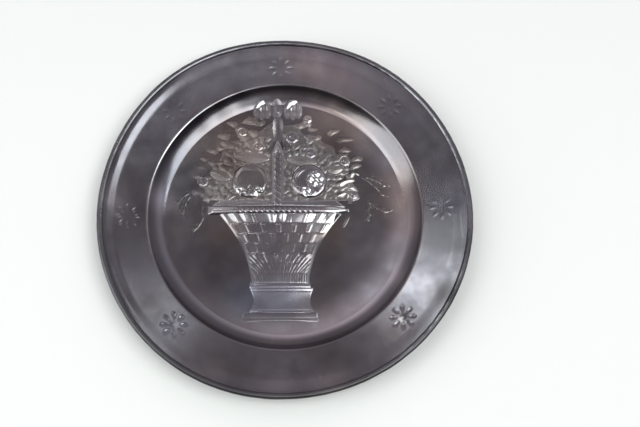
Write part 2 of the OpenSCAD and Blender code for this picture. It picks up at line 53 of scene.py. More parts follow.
rim_slope = math.radians(13)
rim_bow = math.radians(1.5)
swage_in = 7.6
swage_w = 4.6
swage_slope = math.radians(21)
brim_slope = math.radians(8)
bend_w = 3.0
rim_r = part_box("plate")[1].x / mm - sheet * math.sin(brim_slope)
edge_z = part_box("plate")[1].z / mm
hub_r = 2.5
flat_end = 0.4
base_end = 0.5
ring_points = 1200
floor_rows = 26
booge_rows = 24
shoulder_rows = 14
rim_rows = 90
under_shoulder_rows = 6
under_booge_rows = 10
base_rows = 8


def along_slope(angle):
    """Unit step from the middle of a hollow arc to its point with this slope"""
    return np.stack([np.sin(angle), -np.cos(angle)], -1)


def smooth_step(value):
    """Share that eases from nothing at zero to all at one"""
    value = np.clip(value, 0, 1)
    return value * value * (3 - 2 * value)


def ridge_at(distance, width):
    """Share that is one on a line and dies out within about twice the width beside it"""
    return np.exp(-(distance / width) ** 2)


def turned_to(turn, side):
    """Share that is one on a side of the plate and nothing on the opposite side"""
    return 0.5 + 0.5 * np.cos(turn - side)


shoulder_r = shoulder_under_r + sheet
booge_r = booge_w / (math.sin(booge_top) - math.sin(booge_foot))
booge_at = np.array([floor_r, sheet]) - booge_r * along_slope(booge_foot)
shoulder_at = booge_at + (booge_r + shoulder_r) * along_slope(booge_top)
shoulder_end = shoulder_at - shoulder_r * along_slope(rim_slope)


def rim_incline(r):
    """Slope of the rim at a radius: it steepens a little outwards, then come the raised band and the brim"""
    run = np.clip((r - shoulder_end[0]) / (rim_r - swage_in - shoulder_end[0]), 0, 1)
    slope = rim_slope + rim_bow * run ** 3
    for start, next_slope in ((swage_in, swage_slope), (swage_in - swage_w, brim_slope)):
        slope = slope + (next_slope - slope) * smooth_step((r - rim_r + start) / bend_w + 0.5)
    return slope


rim_run = np.linspace(shoulder_end[0], rim_r, rim_rows)
rim_steps = np.tan(rim_incline((rim_run[1:] + rim_run[:-1]) / 2)) * np.diff(rim_run)
rim_z = shoulder_end[1] + np.append(0, np.cumsum(rim_steps))
rim_z = rim_z + (edge_z - rim_z[-1]) * (rim_run - shoulder_end[0]) / (rim_r - shoulder_end[0])
swage_foot = rim_r - swage_in - bend_w / 2
plain_rim = np.interp(rim_run, [swage_foot, rim_r], [np.interp(swage_foot, rim_run, rim_z), edge_z])
swage_rise = np.where(rim_run > swage_foot, rim_z - plain_rim, 0)
swage_side = math.radians(172)
swage_reach = math.radians(52)
swage_fade = math.radians(26)
swage_least = 0.1


def swage_share(turn):
    """How far the raised band is worked up: fully on the left, hardly elsewhere"""
    away = np.abs((turn - swage_side + math.pi) % (2 * math.pi) - math.pi)
    return swage_least + (1 - swage_least) * smooth_step((swage_reach - away) / swage_fade)


def bent(middle, radius, start, end, rows):
    """Points of the sheet's section along a bend between two slopes"""
    return middle + radius * along_slope(np.linspace(start, end, rows))


def plate_section():
    """Radius and height of the upper side from the middle out, then of the underside back in"""
    flat = np.stack([np.linspace(hub_r, floor_r - flat_end, floor_rows), np.full(floor_rows, sheet)], -1)
    rim = np.stack([rim_run, rim_z], -1)
    upper = np.vstack([
        flat,
        bent(booge_at, booge_r, booge_foot, booge_top, booge_rows),
        bent(shoulder_at, -shoulder_r, booge_top, rim_slope, shoulder_rows)[1:-1],
        rim])
    under_r = booge_r + sheet
    under_slope = math.acos(booge_at[1] / under_r)
    base_r = booge_at[0] + under_r * math.sin(under_slope)
    under = np.vstack([
        (rim + sheet * along_slope(rim_incline(rim_run)))[:1:-2],
        bent(shoulder_at, -shoulder_under_r, rim_slope, booge_top, under_shoulder_rows),
        bent(booge_at, under_r, booge_top, under_slope, under_booge_rows)[1:],
        np.stack([np.linspace(base_r - base_end, hub_r, base_rows), np.zeros(base_rows)], -1)])
    return upper, under


far_side = math.radians(90)
well_out = 1.1
well_narrow = 5
well_from = 78
well_rise = 5
well_end = 104
well_fade = 14


def well_shift(r, turn):
    """How far the wall of the well stands out at the far side, where the dish isn't quite round"""
    share = smooth_step((r - well_from) / well_rise) * smooth_step((well_end - r) / well_fade)
    return well_out * turned_to(turn, far_side) ** well_narrow * share


def upper_height(x, y):
    """Height of the plate's upper side over its floor, out to the shoulder"""
    r = np.hypot(x, y)
    r = r - well_shift(r, np.arctan2(y, x))
    booge = booge_at[1] - np.sqrt(np.maximum(booge_r ** 2 - (r - booge_at[0]) ** 2, 0)) - sheet
    return np.where(r < floor_r, 0.0, booge)


floor_wave = 0.05
floor_fade = 8


def floor_lie(x, y):
    """Slight waves of the hand-worked floor, which die out at its edge"""
    lie = np.sin(x / 9.1 + 1.3) * np.cos(y / 11.7)
    lie = lie + 0.6 * np.sin((x + y) / 6.3 + 0.4) + 0.4 * np.sin((x - 1.7 * y) / 4.1)
    return floor_wave * lie * np.clip((floor_r - np.hypot(x, y)) / floor_fade, 0, 1)


# The edge runs a little out of round: number of waves, their height in mm and where they start
edge_runs = [(3, 0.4, -10), (4, 0.25, -175), (5, 0.2, -105), (6, 0.15, 15)]
edge_in = 0.8


def edge_wave(turn):
    """How far the edge lies outside its true circle"""
    wave = sum(high * np.cos(n * turn - math.radians(start)) for n, high, start in edge_runs)
    return wave - edge_in


rosette_out = 11
rosette_ring = shoulder_end[0] + rosette_out
rosette_r = 9
rosette_turn = math.radians(91.7)
rosette_strikes = [0.2, 0.1, 0.3, 0.75, 0.12, 1.2, 0.1, 0.2]
drops = 8
drop_at = 5.7
drop_half = 2.4
drop_root = 0.3
drop_flare = 0.15
dent_depth = 0.38
dent_through = 0.35
# Share of the dents' depth by which they are painted darker, as shade
dent_shade = 0.2
boss_t = 0.12
boss_r = 1.9


def rosette(out, over):
    """Depth of a struck rosette at a place measured from its middle"""
    ring = np.hypot(out, over)
    sector = math.pi / drops
    side = (np.arctan2(over, out) + sector) % (2 * sector) - sector
    along = ring * np.cos(side)
    half = drop_root + drop_flare * along
    drop = 1 - ((along - drop_at) / drop_half) ** 2 - (ring * np.sin(side) / half) ** 2
    return dent_depth * np.clip(drop, 0, 1) - boss_t * ridge_at(ring, boss_r)


# Patches of the patina, and patches of painted highlight and shade: place, spread, how much lighter and how
# much browner
floor_patches = [
    (-37, -36, 14, -0.3, 0), (26, -34, 12, -0.28, 0.1), (-37, -12, 8, 0.1, 0.6), (27, -11, 7, 0.05, 0.5),
    (-26, -52, 9, 0.2, -0.7), (-3, -54, 10, 0.15, -0.6), (57, -34, 13, 0.25, -0.2), (47, -57, 11, 0.3, -0.1),
    (-5, -73, 14, 0.2, 0.1), (69, 12, 12, 0.3, 0.6), (24, 63, 10, 0.8, 0.5), (33, 53, 7, -0.2, 0.9),
    (-32, 46, 15, 0, 0.8), (-61, 25, 14, -0.3, -0.2), (10, 42, 14, -0.1, -0.2), (46, 54, 9, 0.4, 0.3),
    (45, -15, 9, 0.15, 0), (-56, -24, 14, -0.12, 0), (-1, 45.5, 2, -0.45, -0.3), (-9.6, 44.5, 2, -0.4, -0.3),
    (-22, 49, 7, 0.3, 0), (-43, 14, 6, 0.35, 0), (-34, 34, 6, -0.3, 0.1)]
# The booge patches are all painted light: a painted highlight on its left and right, and painted shade in a
# band along its far side
booge_painted_light = [
    (-77, 11, 6, 0.9, -0.1), (-54, 60, 4, -0.45, 0), (-41, 69.5, 4, -0.5, 0), (-28, 76, 4, -0.5, 0),
    (2, 82, 5, -0.4, 0), (12, 80.5, 4, -0.45, -0.2), (26, 77.5, 4, -0.4, -0.2), (39, 71.5, 3.5, -0.3, -0.2),
    (75, -9, 6, 0.3, 0.1), (68, -40, 5, 0.4, 0.1)]
# Some rim patches are painted light: those at (-106, 7) and (-71, 79) move the highlight on the raised band,
# (-66, -70) paints a highlight at the lower left rosette, (80, -46) brightens the bright patch on the lower
# right, and (94, -55), (97, -49), (104, -28) and (107, -22) paint shade round its outer edge
rim_patches = [
    (14, 93, 13, 0.5, 0.5), (40, 84, 12, 0.3, 0.3), (98, 6, 12, 0.3, -0.1), (-80, -60, 10, -0.2, 0.1),
    (30, -92, 16, -0.25, 0.3), (-35, -92, 16, -0.2, 0.3), (-92, 8, 12, -0.2, 0.2), (64, -74, 9, 0.2, 0.3),
    (94, -55, 7, -0.4, 0.1), (88, -20, 8, -0.1, 0), (-106, 7, 8, 0.5, 0), (-71, 79, 9, -0.25, 0),
    (104, -28, 8, -0.3, 0), (-66, -70, 7, 0.35, -0.1), (80, -46, 8, 0.3, 0), (97, -49, 6, -0.4, 0),
    (107, -22, 6, -0.25, 0), (-5, -107, 8, 0.4, 0.2), (25, -105, 8, 0.5, 0.2), (-40, -100, 7, 0.3, 0.1)]
left_side = math.radians(180)
rim_cool_from = 84
rim_cool_soft = 4
rim_cool = 0.25
booge_cool_from = 74
booge_cool_soft = 2
booge_cool = 0.3
# Painted sheen: the floor is painted lighter towards its edge, most on the lower right, where it would
# mirror the light
sheen_side = math.radians(-35)
sheen_t = 2.0
sheen_from = 58
sheen_soft = 15
sheen_to = floor_r + 4
sheen_end = 5


def patina(x, y):
    """How much lighter and how much browner the metal is at a place: patina patches, patches of painted
    highlight and shade, and the painted sheen near the floor's edge
    """
    lightness_and_painted_light, browner = np.zeros_like(x), np.zeros_like(x)
    for across, up, spread, light, brown in floor_patches + booge_painted_light + rim_patches:
        share = np.exp(-((x - across) ** 2 + (y - up) ** 2) / (2 * spread ** 2))
        lightness_and_painted_light = lightness_and_painted_light + light * share
        browner = browner + brown * share
    ring, turn = np.hypot(x, y), np.arctan2(y, x)
    on_rim = smooth_step((ring - rim_cool_from) / rim_cool_soft)
    on_booge = smooth_step((ring - booge_cool_from) / booge_cool_soft) * (1 - on_rim)
    on_booge = on_booge * turned_to(turn, left_side)
    browner = browner - rim_cool * on_rim - booge_cool * on_booge
    # The painted sheen near the floor's edge is added to the lightness here
    pale = smooth_step((ring - sheen_from) / sheen_soft) * smooth_step((sheen_to - ring) / sheen_end)
    return lightness_and_painted_light + sheen_t * turned_to(turn, sheen_side) ** 2 * pale, browner


def solid(name, points, quads, triangles, wear_and_painted_light, patched=1.0):
    """Object from points in mm; the wear values say how rubbed or painted bright as a highlight (above
    zero), or how much darker, in hollows and on shaded sides as painted shade (below), each point is, and
    patched how strongly the patina's patches show there"""
    mesh = bpy.data.meshes.new(name)
    mesh.vertices.add(len(points))
    mesh.vertices.foreach_set("co", (np.asarray(points) * mm).astype(np.float32).ravel())
    corners = np.concatenate([np.ravel(quads), np.ravel(triangles)]).astype(np.int32)
    starts = np.concatenate([np.arange(len(quads)) * 4, len(quads) * 4 + np.arange(len(triangles)) * 3])
    mesh.loops.add(len(corners))
    mesh.loops.foreach_set("vertex_index", corners)
    mesh.polygons.add(len(starts))
    mesh.polygons.foreach_set("loop_start", starts.astype(np.int32))
    mesh.update(calc_edges=True)
    mesh.shade_smooth()
    lightness_and_painted_light, browner = patina(*np.asarray(points).T[:2])
    for kind, values in (("wear_and_painted_light", wear_and_painted_light), ("lightness_and_painted_light", lightness_and_painted_light * patched), ("browner", browner * patched)):
        stored = mesh.attributes.new(kind, "FLOAT", "POINT")
        stored.data.foreach_set("value", values.astype(np.float32).ravel())
    piece = bpy.data.objects.new(name, mesh)
    bpy.context.scene.collection.objects.link(piece)
    return piece


def ring_quads(rows):
    """Quads between rings of points that follow each other from the middle out and back in underneath"""
    index = np.arange(rows * ring_points).reshape(rows, ring_points)
    here, there = index[:-1], index[1:]
    return np.stack([here, there, np.roll(there, -1, 1), np.roll(here, -1, 1)], -1).reshape(-1, 4)


# A painted highlight runs along the line of the shoulder, brightest on the upper left and dimmed at the far
# side
shoulder_highlight_side = math.radians(158)
shoulder_highlight_narrow = 12
shoulder_unlit_side = math.radians(80)
shoulder_unlit_t = 0.6
shoulder_unlit_w = 0.6
shoulder_line_r = shoulder_at[0] - 0.8
shoulder_line_w = 0.75
turn = np.arange(ring_points) * 2 * math.pi / ring_points
upper, under = plate_section()
section = np.vstack([upper, under])
section_r, section_z = section[:, :1], section[:, 1:]
is_upper = (np.arange(len(section)) < len(upper))[:, None]
plate_r = section_r + edge_wave(turn) * smooth_step((section_r - shoulder_at[0]) / (rim_r - shoulder_at[0]))
plate_r = plate_r + well_shift(section_r, turn)
plate_x = plate_r * np.cos(turn)
plate_y = plate_r * np.sin(turn)
dents = np.zeros_like(plate_r)
for number, strike in enumerate(rosette_strikes):
    struck_at = rosette_turn + number * 2 * math.pi / len(rosette_strikes)
    out = section_r * np.cos(turn - struck_at) - rosette_ring
    over = section_r * np.sin(turn - struck_at)
    near = np.hypot(out, over) < rosette_r
    dents[near] += strike * rosette(out, over)[near]
plate_z = section_z + np.where(is_upper, floor_lie(plate_x, plate_y), 0)
plate_z = plate_z - (1 - swage_share(turn)) * np.interp(section_r, rim_run, swage_rise)
plate_z = plate_z - dents * np.where(is_upper, 1.0, dent_through)
# The plate's wear values are painted light: the highlight along the shoulder, and painted shade in the
# struck dents
shoulder_highlight = turned_to(turn, shoulder_highlight_side) ** shoulder_highlight_narrow
shoulder_highlight = shoulder_highlight - shoulder_unlit_t * ridge_at(turn - shoulder_unlit_side, shoulder_unlit_w)
shoulder_line = ridge_at(section_r - shoulder_line_r, shoulder_line_w)
plate_painted_light = np.where(is_upper, shoulder_line * shoulder_highlight - dent_shade * dents, 0)
poles = np.array([[0, 0, sheet + floor_lie(0.0, 0.0)], [0, 0, 0]])
plate_points = np.vstack([np.stack([plate_x, plate_y, plate_z], -1).reshape(-1, 3), poles])
pole = len(section) * ring_points
ring_step = np.arange(ring_points)
middle_fan = np.stack([np.full(ring_points, pole), ring_step, np.roll(ring_step, -1)], -1)
base_ring = pole - ring_points + ring_step
base_fan = np.stack([np.full(ring_points, pole + 1), np.roll(base_ring, -1), base_ring], -1)
plate = solid(
    "plate_dish", plate_points, ring_quads(len(section)), np.vstack([middle_fan, base_fan]),
    np.append(plate_painted_light.ravel(), [0, 0]), np.append(np.repeat(is_upper, ring_points), [1, 0]))
edge_ends = np.zeros(2 * len(plate.data.edges), np.int32)
plate.data.edges.foreach_get("vertices", edge_ends)
booge_start = (edge_ends // ring_points == floor_rows).reshape(-1, 2).all(1)
plate.data.attributes.new("sharp_edge", "BOOLEAN", "EDGE").data.foreach_set("value", booge_start)


def old_pewter(name, clean, brown, rubbed_and_highlight, roughness, turned=False):
    """Finish of aged pewter: grey with brown patches, painted darker in its hollows as shade, brighter where
    it is rubbed or painted with a highlight
    """
    finish = bpy.data.materials.new(name)
    finish.use_nodes = True
    tree = finish.node_tree
    shader = tree.nodes["Principled BSDF"]
    place = tree.nodes.new("ShaderNodeTexCoord").outputs["Object"]

    def noise(scale, detail, stretch=None):
        """Cloudy pattern, or streaks where stretch gives their heading and how narrow they are"""
        texture = tree.nodes.new("ShaderNodeTexNoise")
        texture.inputs["Scale"].default_value = scale
        texture.inputs["Detail"].default_value = detail
        texture.inputs["Roughness"].default_value = 0.6
        source = place
        if stretch:
            mapping = tree.nodes.new("ShaderNodeMapping")
            mapping.inputs["Rotation"].default_value = (0, 0, stretch[0])
            mapping.inputs["Scale"].default_value = (1, stretch[1], 1)
            tree.links.new(place, mapping.inputs["Vector"])
            source = mapping.outputs["Vector"]
        tree.links.new(source, texture.inputs["Vector"])
        return texture.outputs["Fac"]

    def spread(source, low, high, at_low=0.0, at_high=1.0):
        """Value that goes from at_low to at_high while its source goes from low to high"""
        span = tree.nodes.new("ShaderNodeMapRange")
        span.inputs["From Min"].default_value = low
        span.inputs["From Max"].default_value = high
        span.inputs["To Min"].default_value = at_low
        span.inputs["To Max"].default_value = at_high
        tree.links.new(source, span.inputs["Value"])
        return span.outputs["Result"]

    def blend(share, first, second):
        """Colour between two others"""
        mixer = tree.nodes.new("ShaderNodeMix")
        mixer.data_type = "RGBA"
        tree.links.new(share, mixer.inputs["Factor"])
        for socket, value in ((mixer.inputs[6], first), (mixer.inputs[7], second)):
            if isinstance(value, tuple):
                socket.default_value = (*value, 1)
            else:
                tree.links.new(value, socket)
        return mixer.outputs[2]

    def sums(kind, first, second):
        """Two values put together by one kind of sum"""
        math_node = tree.nodes.new("ShaderNodeMath")
        math_node.operation = kind
        for socket, value in zip(math_node.inputs, (first, second)):
            if isinstance(value, float):
                socket.default_value = value
            else:
                tree.links.new(value, socket)
        return math_node.outputs["Value"]

    def stored(kind):
        """Value that each point of the mesh carries"""
        attribute = tree.nodes.new("ShaderNodeAttribute")
        attribute.attribute_name = kind
        return attribute.outputs["Fac"]

    wear_and_painted_light, lightness_and_painted_light, browner = stored("wear_and_painted_light"), stored("lightness_and_painted_light"), stored("browner")
    # Painted shade darkens the colour where the wear values lie below zero; rubbing and painted highlights
    # brighten it where they lie above
    hollow_shade = spread(wear_and_painted_light, -0.06, -0.75)
    rub_and_highlight = spread(wear_and_painted_light, 0.06, 0.8)
    mottling = sums("MULTIPLY", noise(45, 6), 0.8)
    warm = spread(sums("ADD", mottling, browner), 0.3, 0.95)
    cool = spread(browner, -0.1, -0.8)
    specks = spread(noise(420, 5), 0.58, 0.8, 0.0, 0.25)
    scratches = spread(noise(260, 3, (0.5, 0.04)), 0.69, 0.74)
    scuffs = spread(noise(340, 3, (2.1, 0.03)), 0.71, 0.76)
    marks = sums("MAXIMUM", scratches, scuffs)
    bluish = (0.88 * clean[0], clean[1], 1.15 * clean[2])
    painted_shade_colour = tuple(0.3 * value for value in clean)
    speck = tuple(0.6 * value for value in brown)
    colour = blend(warm, clean, brown)
    colour = blend(cool, colour, bluish)
    colour = blend(specks, colour, speck)
    colour = blend(sums("MULTIPLY", marks, 0.18), colour, rubbed_and_highlight)
    colour = blend(rub_and_highlight, colour, rubbed_and_highlight)
    colour = blend(hollow_shade, colour, painted_shade_colour)
    tone = tree.nodes.new("ShaderNodeVectorMath")
    tone.operation = "SCALE"
    tree.links.new(colour, tone.inputs["Vector"])
    tree.links.new(sums("ADD", lightness_and_painted_light, 1.0), tone.inputs["Scale"])
    tree.links.new(tone.outputs["Vector"], shader.inputs["Base Color"])
    matt = spread(noise(75, 5), 0.3, 0.7, roughness - 0.04, roughness + 0.06)
    matt = sums("ADD", matt, sums("MULTIPLY", hollow_shade, 0.25))
    matt = sums("SUBTRACT", matt, sums("MULTIPLY", rub_and_highlight, 0.06))
    tree.links.new(matt, shader.inputs["Roughness"])
    shader.inputs["Metallic"].default_value = 1.0
    grain = sums("ADD", sums("MULTIPLY", noise(700, 4), 0.6), sums("MULTIPLY", noise(190, 3), 0.3))
    grain = sums("SUBTRACT", grain, sums("MULTIPLY", marks, 0.35))
    if turned:
        rings = tree.nodes.new("ShaderNodeTexWave")
        rings.wave_type = "RINGS"
        rings.rings_direction = "Z"
        rings.inputs["Scale"].default_value = 260
        rings.inputs["Distortion"].default_value = 1.2
        tree.links.new(place, rings.inputs["Vector"])
        grain = sums("ADD", grain, sums("MULTIPLY", rings.outputs["Fac"], 0.25))
    bump = tree.nodes.new("ShaderNodeBump")
    bump.inputs["Strength"].default_value = 0.11
    bump.inputs["Distance"].default_value = 0.00006
    tree.links.new(grain, bump.inputs["Height"])
    tree.links.new(bump.outputs["Normal"], shader.inputs["Normal"])
    return finish


plate.data.materials.append(old_pewter(
    "plate_pewter", (0.168, 0.154, 0.17), (0.176, 0.141, 0.138), (0.38, 0.37, 0.38), 0.17, turned=True))
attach(plate, "plate")
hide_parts("plate")

# The edge wire is a round pewter wire, pushed over the edge of the rim and dressed down to a smooth roll,
# whose inner lip is soldered to the brim. It is nicked from use; painted highlight lines run along the lip
# and, on the lower right, along the top, and painted shade lies on the near side and underneath.
wire_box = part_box("edge_wire")
wire_d = 3.4
dressed_off = 0.09
wire_ring = wire_box[1].x / mm - wire_d / 2
wire_z = wire_box[1].z / mm - wire_d / 2
wire_half = wire_d / 2 - dressed_off
inner_lip = [(-1.9, 0.3), (-2.05, 0.6), (-1.9, 0.8), (-1.7, 0.97), (-1.4, 1.18), (-1.0, 1.39), (-0.5, 1.55)]
roll_from = 90
roll_to = -130
roll_points = 20
knock_t = 0.02
seam_x = -1.89
seam_z = 0.7
seam_dark = 0.3
underside_shade = 0.4
inner_line_x = -1.75
inner_line_w = 0.2
top_line_x = -0.65
top_line_w = 0.4
near_side = math.radians(-90)
highlight_side = math.radians(35)
highlight_spot = math.radians(218)
top_line_side = math.radians(322)

roll_turn = np.radians(np.linspace(roll_from, roll_to, roll_points))
roll = np.vstack([inner_lip, wire_half * np.stack([np.cos(roll_turn), np.sin(roll_turn)], -1)])
roll_x, roll_z = roll[:, :1], roll[:, 1:]
knocks = np.sin(23 * turn + 2 * np.sin(7 * turn)) + np.sin(61 * turn + 3 * np.cos(11 * turn))
long_nicks = np.sin(37 * turn + 3 * np.sin(5 * turn))
nicks = smooth_step(0.4 + long_nicks + 0.7 * np.sin(101 * turn + 4 * np.cos(9 * turn)))
wire_r = wire_ring + edge_wave(turn) + roll_x * (1 + knock_t * knocks)
wire_points = np.stack([
    wire_r * np.cos(turn), wire_r * np.sin(turn), wire_z + roll_z * (1 + knock_t * knocks)], -1)
# Painted light on the wire: highlight lines along the inner lip, brightest towards the upper right and at a
# spot on the lower left, and along the top on the lower right, broken by the nicks; painted shade on the
# near side and underneath, and darker where the lip tucks against the brim
inner_shine = 0.1 + 0.9 * turned_to(turn, highlight_side) + 0.8 * ridge_at(turn - highlight_spot, 0.3)
inner_line = ridge_at(roll_x - inner_line_x, inner_line_w) * (roll_z > seam_z)
top_shine = ridge_at(turn - top_line_side, 0.5)
top_line = ridge_at(roll_x - top_line_x, top_line_w) * (roll_z > seam_z)
wire_painted_light = inner_shine * (0.25 + 0.6 * nicks) * inner_line + top_shine * (0.8 + 0.5 * nicks) * top_line
wire_painted_light = wire_painted_light - 0.5 * turned_to(turn, near_side)
wire_painted_light = wire_painted_light - seam_dark * (roll_x < seam_x) * (roll_z < seam_z)
wire_painted_light = wire_painted_light - underside_shade * np.clip(-roll_z, 0, 1)
edge_wire = solid(
    "edge_wire_bead", wire_points.reshape(-1, 3),
    ring_quads(len(roll) + 1) % (len(roll) * ring_points), np.zeros((0, 3), int), wire_painted_light)
edge_wire.data.materials.append(old_pewter(
    "wire_pewter", (0.15, 0.139, 0.151), (0.15, 0.124, 0.12), (0.42, 0.41, 0.42), 0.22))
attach(edge_wire, "plate")
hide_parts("edge_wire")

# The basket's wall is a thin casting with a rounded front, soldered flat on the floor. Courses of flat
# weave with pairs of fine stakes are cast into it, and fine streaks below, where the canes draw together.
mesh_step = 0.25
fine_step = 0.2
casting_root = 0.35
casting_under = 0.1
held_share = 0.98
steepness = 0.9
side_slope = 0.5
edge_soft = 0.35
fillet = 0.15
butt = 5.0
butt_lap = 0.8
wear_reach = 1.0
wear_depth = 0.7
rubbed_share = 0.45


def blurred(field, cells):
    """The field with everything finer than some cells smoothed away"""
    weights = np.exp(-0.5 * (np.arange(-2 * cells, 2 * cells + 1) / cells) ** 2)
    weights = weights / weights.sum()
    for axis in (0, 1):
        border = [(2 * cells, 2 * cells) if a == axis else (0, 0) for a in (0, 1)]
        padded = np.pad(field, border, mode="edge")
        size = field.shape[axis]
        field = sum(w * np.take(padded, range(k, k + size), axis) for k, w in enumerate(weights))
    return field


def casting(name, low, high, height, step=mesh_step, rub_and_painted_light=None, depth=wear_depth, room=1.0):
    """Closed casting on the plate; height gives how far it stands up, and is below zero outside it"""
    x, y = np.meshgrid(*[np.arange(low[k] - room, high[k] + room + step, step) for k in (0, 1)])
    up = blurred(np.clip(height(x, y), -casting_root, None), max(1, round(edge_soft / step)))
    up = np.where(up > 0, up * up / (up + fillet), up)
    held = up > -held_share * casting_root
    cell = held[:-1, :-1] | held[1:, :-1] | held[:-1, 1:] | held[1:, 1:]
    index = np.arange(x.size).reshape(x.shape)
    corners = [index[:-1, :-1], index[:-1, 1:], index[1:, 1:], index[1:, :-1]]
    top = np.stack([corner[cell] for corner in corners], -1)
    used = np.unique(top)
    order = np.zeros(x.size, int)
    order[used] = np.arange(len(used))
    around = np.pad(cell, 1)
    beside = [around[:-2, 1:-1], around[1:-1, 2:], around[2:, 1:-1], around[1:-1, :-2]]
    edges = np.vstack([
        np.stack([corners[k][cell & ~beside[k]], corners[(k + 1) % 4][cell & ~beside[k]]], -1)
        for k in range(4)])
    top, edges = order[top], order[edges]
    below = len(used)
    sides = np.stack([edges[:, 0] + below, edges[:, 1] + below, edges[:, 1], edges[:, 0]], -1)
    quads = np.vstack([top, top[:, ::-1] + below, sides])
    lie = sheet + upper_height(x, y) + floor_lie(x, y)
    above = np.maximum(up, 0)
    # Painted shade darkens the relief's hollows, where it lies below its blurred surroundings, and its
    # crests, where it stands above them, are lighter as rubbed
    wear_and_painted_light = (above - blurred(above, round(wear_reach / step))) / depth
    wear_and_painted_light = np.where(wear_and_painted_light > 0, rubbed_share * wear_and_painted_light, wear_and_painted_light)
    if rub_and_painted_light:
        wear_and_painted_light = wear_and_painted_light + rub_and_painted_light(x, y)
    heights = (lie + up, lie - casting_root - casting_under)
    points = np.vstack([
        np.stack([x.ravel()[used], y.ravel()[used], z.ravel()[used]], -1) for z in heights])
    wear_and_painted_light = np.tile(np.clip(wear_and_painted_light.ravel()[used], -1, 1), 2)
    return solid(name, points, quads, np.zeros((0, 3), int), wear_and_painted_light)


def seat(piece, node, finish):
    """Fixes a casting on the plate in the place of its solid"""
    piece.data.materials.append(finish)
    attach(piece, "plate")
    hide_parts(node)


def node_box(node):
    """Lowest and highest corner of a solid in mm"""
    low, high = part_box(node)
    return np.array(low) / mm, np.array(high) / mm


def butted(y, low, high):
    """Steep ends of a casting that stands against its neighbours above and below, and laps them a little"""
    return butt * (butt_lap + np.minimum(high[1] - y, y - low[1]))


basket_x = -3.3
side_t = 0.25
crown = 1.3
front_round = 2.6
flat_from = -30
flat_run = 40
flat_share = 0.75
courses = 7
wall_low, wall_high = node_box("basket_wall")
wall_h = wall_high[1] - wall_low[1]
wall_top_w = wall_high[0] - wall_low[0]
wall_foot_w = 36
wall_flare = 1.9
stake_step = 0.3
stake_shift = 0.155
stake_gap = 1.7
stake_w = 0.4
stake_t = 0.28
stake_end = 0.9
course_t = 0.14
course_groove_t = 0.06
course_groove_w = 0.4
worn_course = 0.48
streaks_from = 0.58
streak_step = 0.15
streak_t = 0.26
drawn_from = 0.6
drawn_most = 0.28
drawn_rate = 1.6
top_lean = 0.18


def rounded_front(u, y):
    """Height of the basket's rounded front, from side to side; it lies flatter towards the plinth"""
    low = smooth_step((flat_from - y) / flat_run)
    front = side_t * (1 + low) + crown * (1 - np.clip(np.abs(u), 0, 1) ** front_round)
    return front * (1 - flat_share * low)


def wall_place(x, y):
    """Share of the way down the wall, half its width there and share of the way to its side"""
    down = (wall_high[1] - y) / wall_h
    half = wall_foot_w / 2 + (wall_top_w - wall_foot_w) / 2 * np.clip(1 - down, 0, 1) ** wall_flare
    return down, half, (x - basket_x) / half


def wall_height(x, y):
    """The rounded front with its weave: bricks and stakes above, fine streaks below, a leaning top course"""
    down, half, u = wall_place(x, y)
    course = np.clip(down, 0, 0.999) * courses
    row = np.floor(course)
    in_course = course - row
    to_border = np.minimum(in_course, 1 - in_course) * wall_h / courses
    shift = np.where(row % 2 == 0, stake_shift, 0.0) + 0.03 * np.sin(5 * row)
    to_stake = np.abs((u - shift + 0.5 * stake_step) % stake_step - 0.5 * stake_step) * half
    stake = ridge_at(to_stake - 0.5 * stake_gap * half / (wall_top_w / 2), stake_w)
    lower = smooth_step((down - streaks_from) / 0.1)
    drawn_in = u / (1 - drawn_rate * np.clip(down - drawn_from, 0, drawn_most))
    broken = 0.55 + 0.45 * np.sin(19 * drawn_in + 34 * down) * np.sin(7 * drawn_in - 21 * down)
    streak = np.cos(2 * math.pi * drawn_in / streak_step) * broken
    worn = 1 - 0.6 * ridge_at(down - worn_course, 0.1)
    weave = stake_t * stake * smooth_step(to_border / stake_end) + course_t * (1 - in_course)
    weave = weave * worn * (1 - lower) + 0.5 * streak_t * streak * lower
    groove = course_groove_t * np.exp(-to_border / course_groove_w) * worn
    on_top = np.clip(y - wall_high[1] + wall_h / courses, 0, None)
    bricks = 0.6 + 0.4 * np.sin(2 * math.pi * u / stake_step + 2 * np.sin(9 * u))
    weave = weave + top_lean * on_top * bricks
    lift = np.minimum(rounded_front(u, y) + weave - groove, side_slope * (1 - np.abs(u)) * half)
    return np.minimum(lift, butted(y, wall_low, wall_high))


def wall_highlight_and_shade(x, y):
    """Painted highlight along the top course, strongest at its right end, and a little on the lower courses;
    the middle course is darker and painted shade runs down both sides
    """
    down, half, u = wall_place(x, y)
    top = ridge_at(down - 0.07, 0.07)
    right_end = smooth_step((u - 0.45) / 0.2) * ridge_at(down - 0.13, 0.15)
    lower = ridge_at(down - 0.72, 0.12)
    middle = ridge_at(down - 0.47, 0.12)
    sides = smooth_step((np.abs(u) - 0.86) / 0.1) * smooth_step((down - 0.28) / 0.1)
    return 0.4 * top + 0.6 * right_end + 0.15 * lower - 0.12 * middle - 0.6 * sides


basket_wall = casting("basket_weave", wall_low, wall_high, wall_height, fine_step, wall_highlight_and_shade)
worn_casting = old_pewter(
    "worn_casting", (0.225, 0.206, 0.228), (0.23, 0.187, 0.182), (0.48, 0.47, 0.48), 0.2)
seat(basket_wall, "basket_wall", worn_casting)

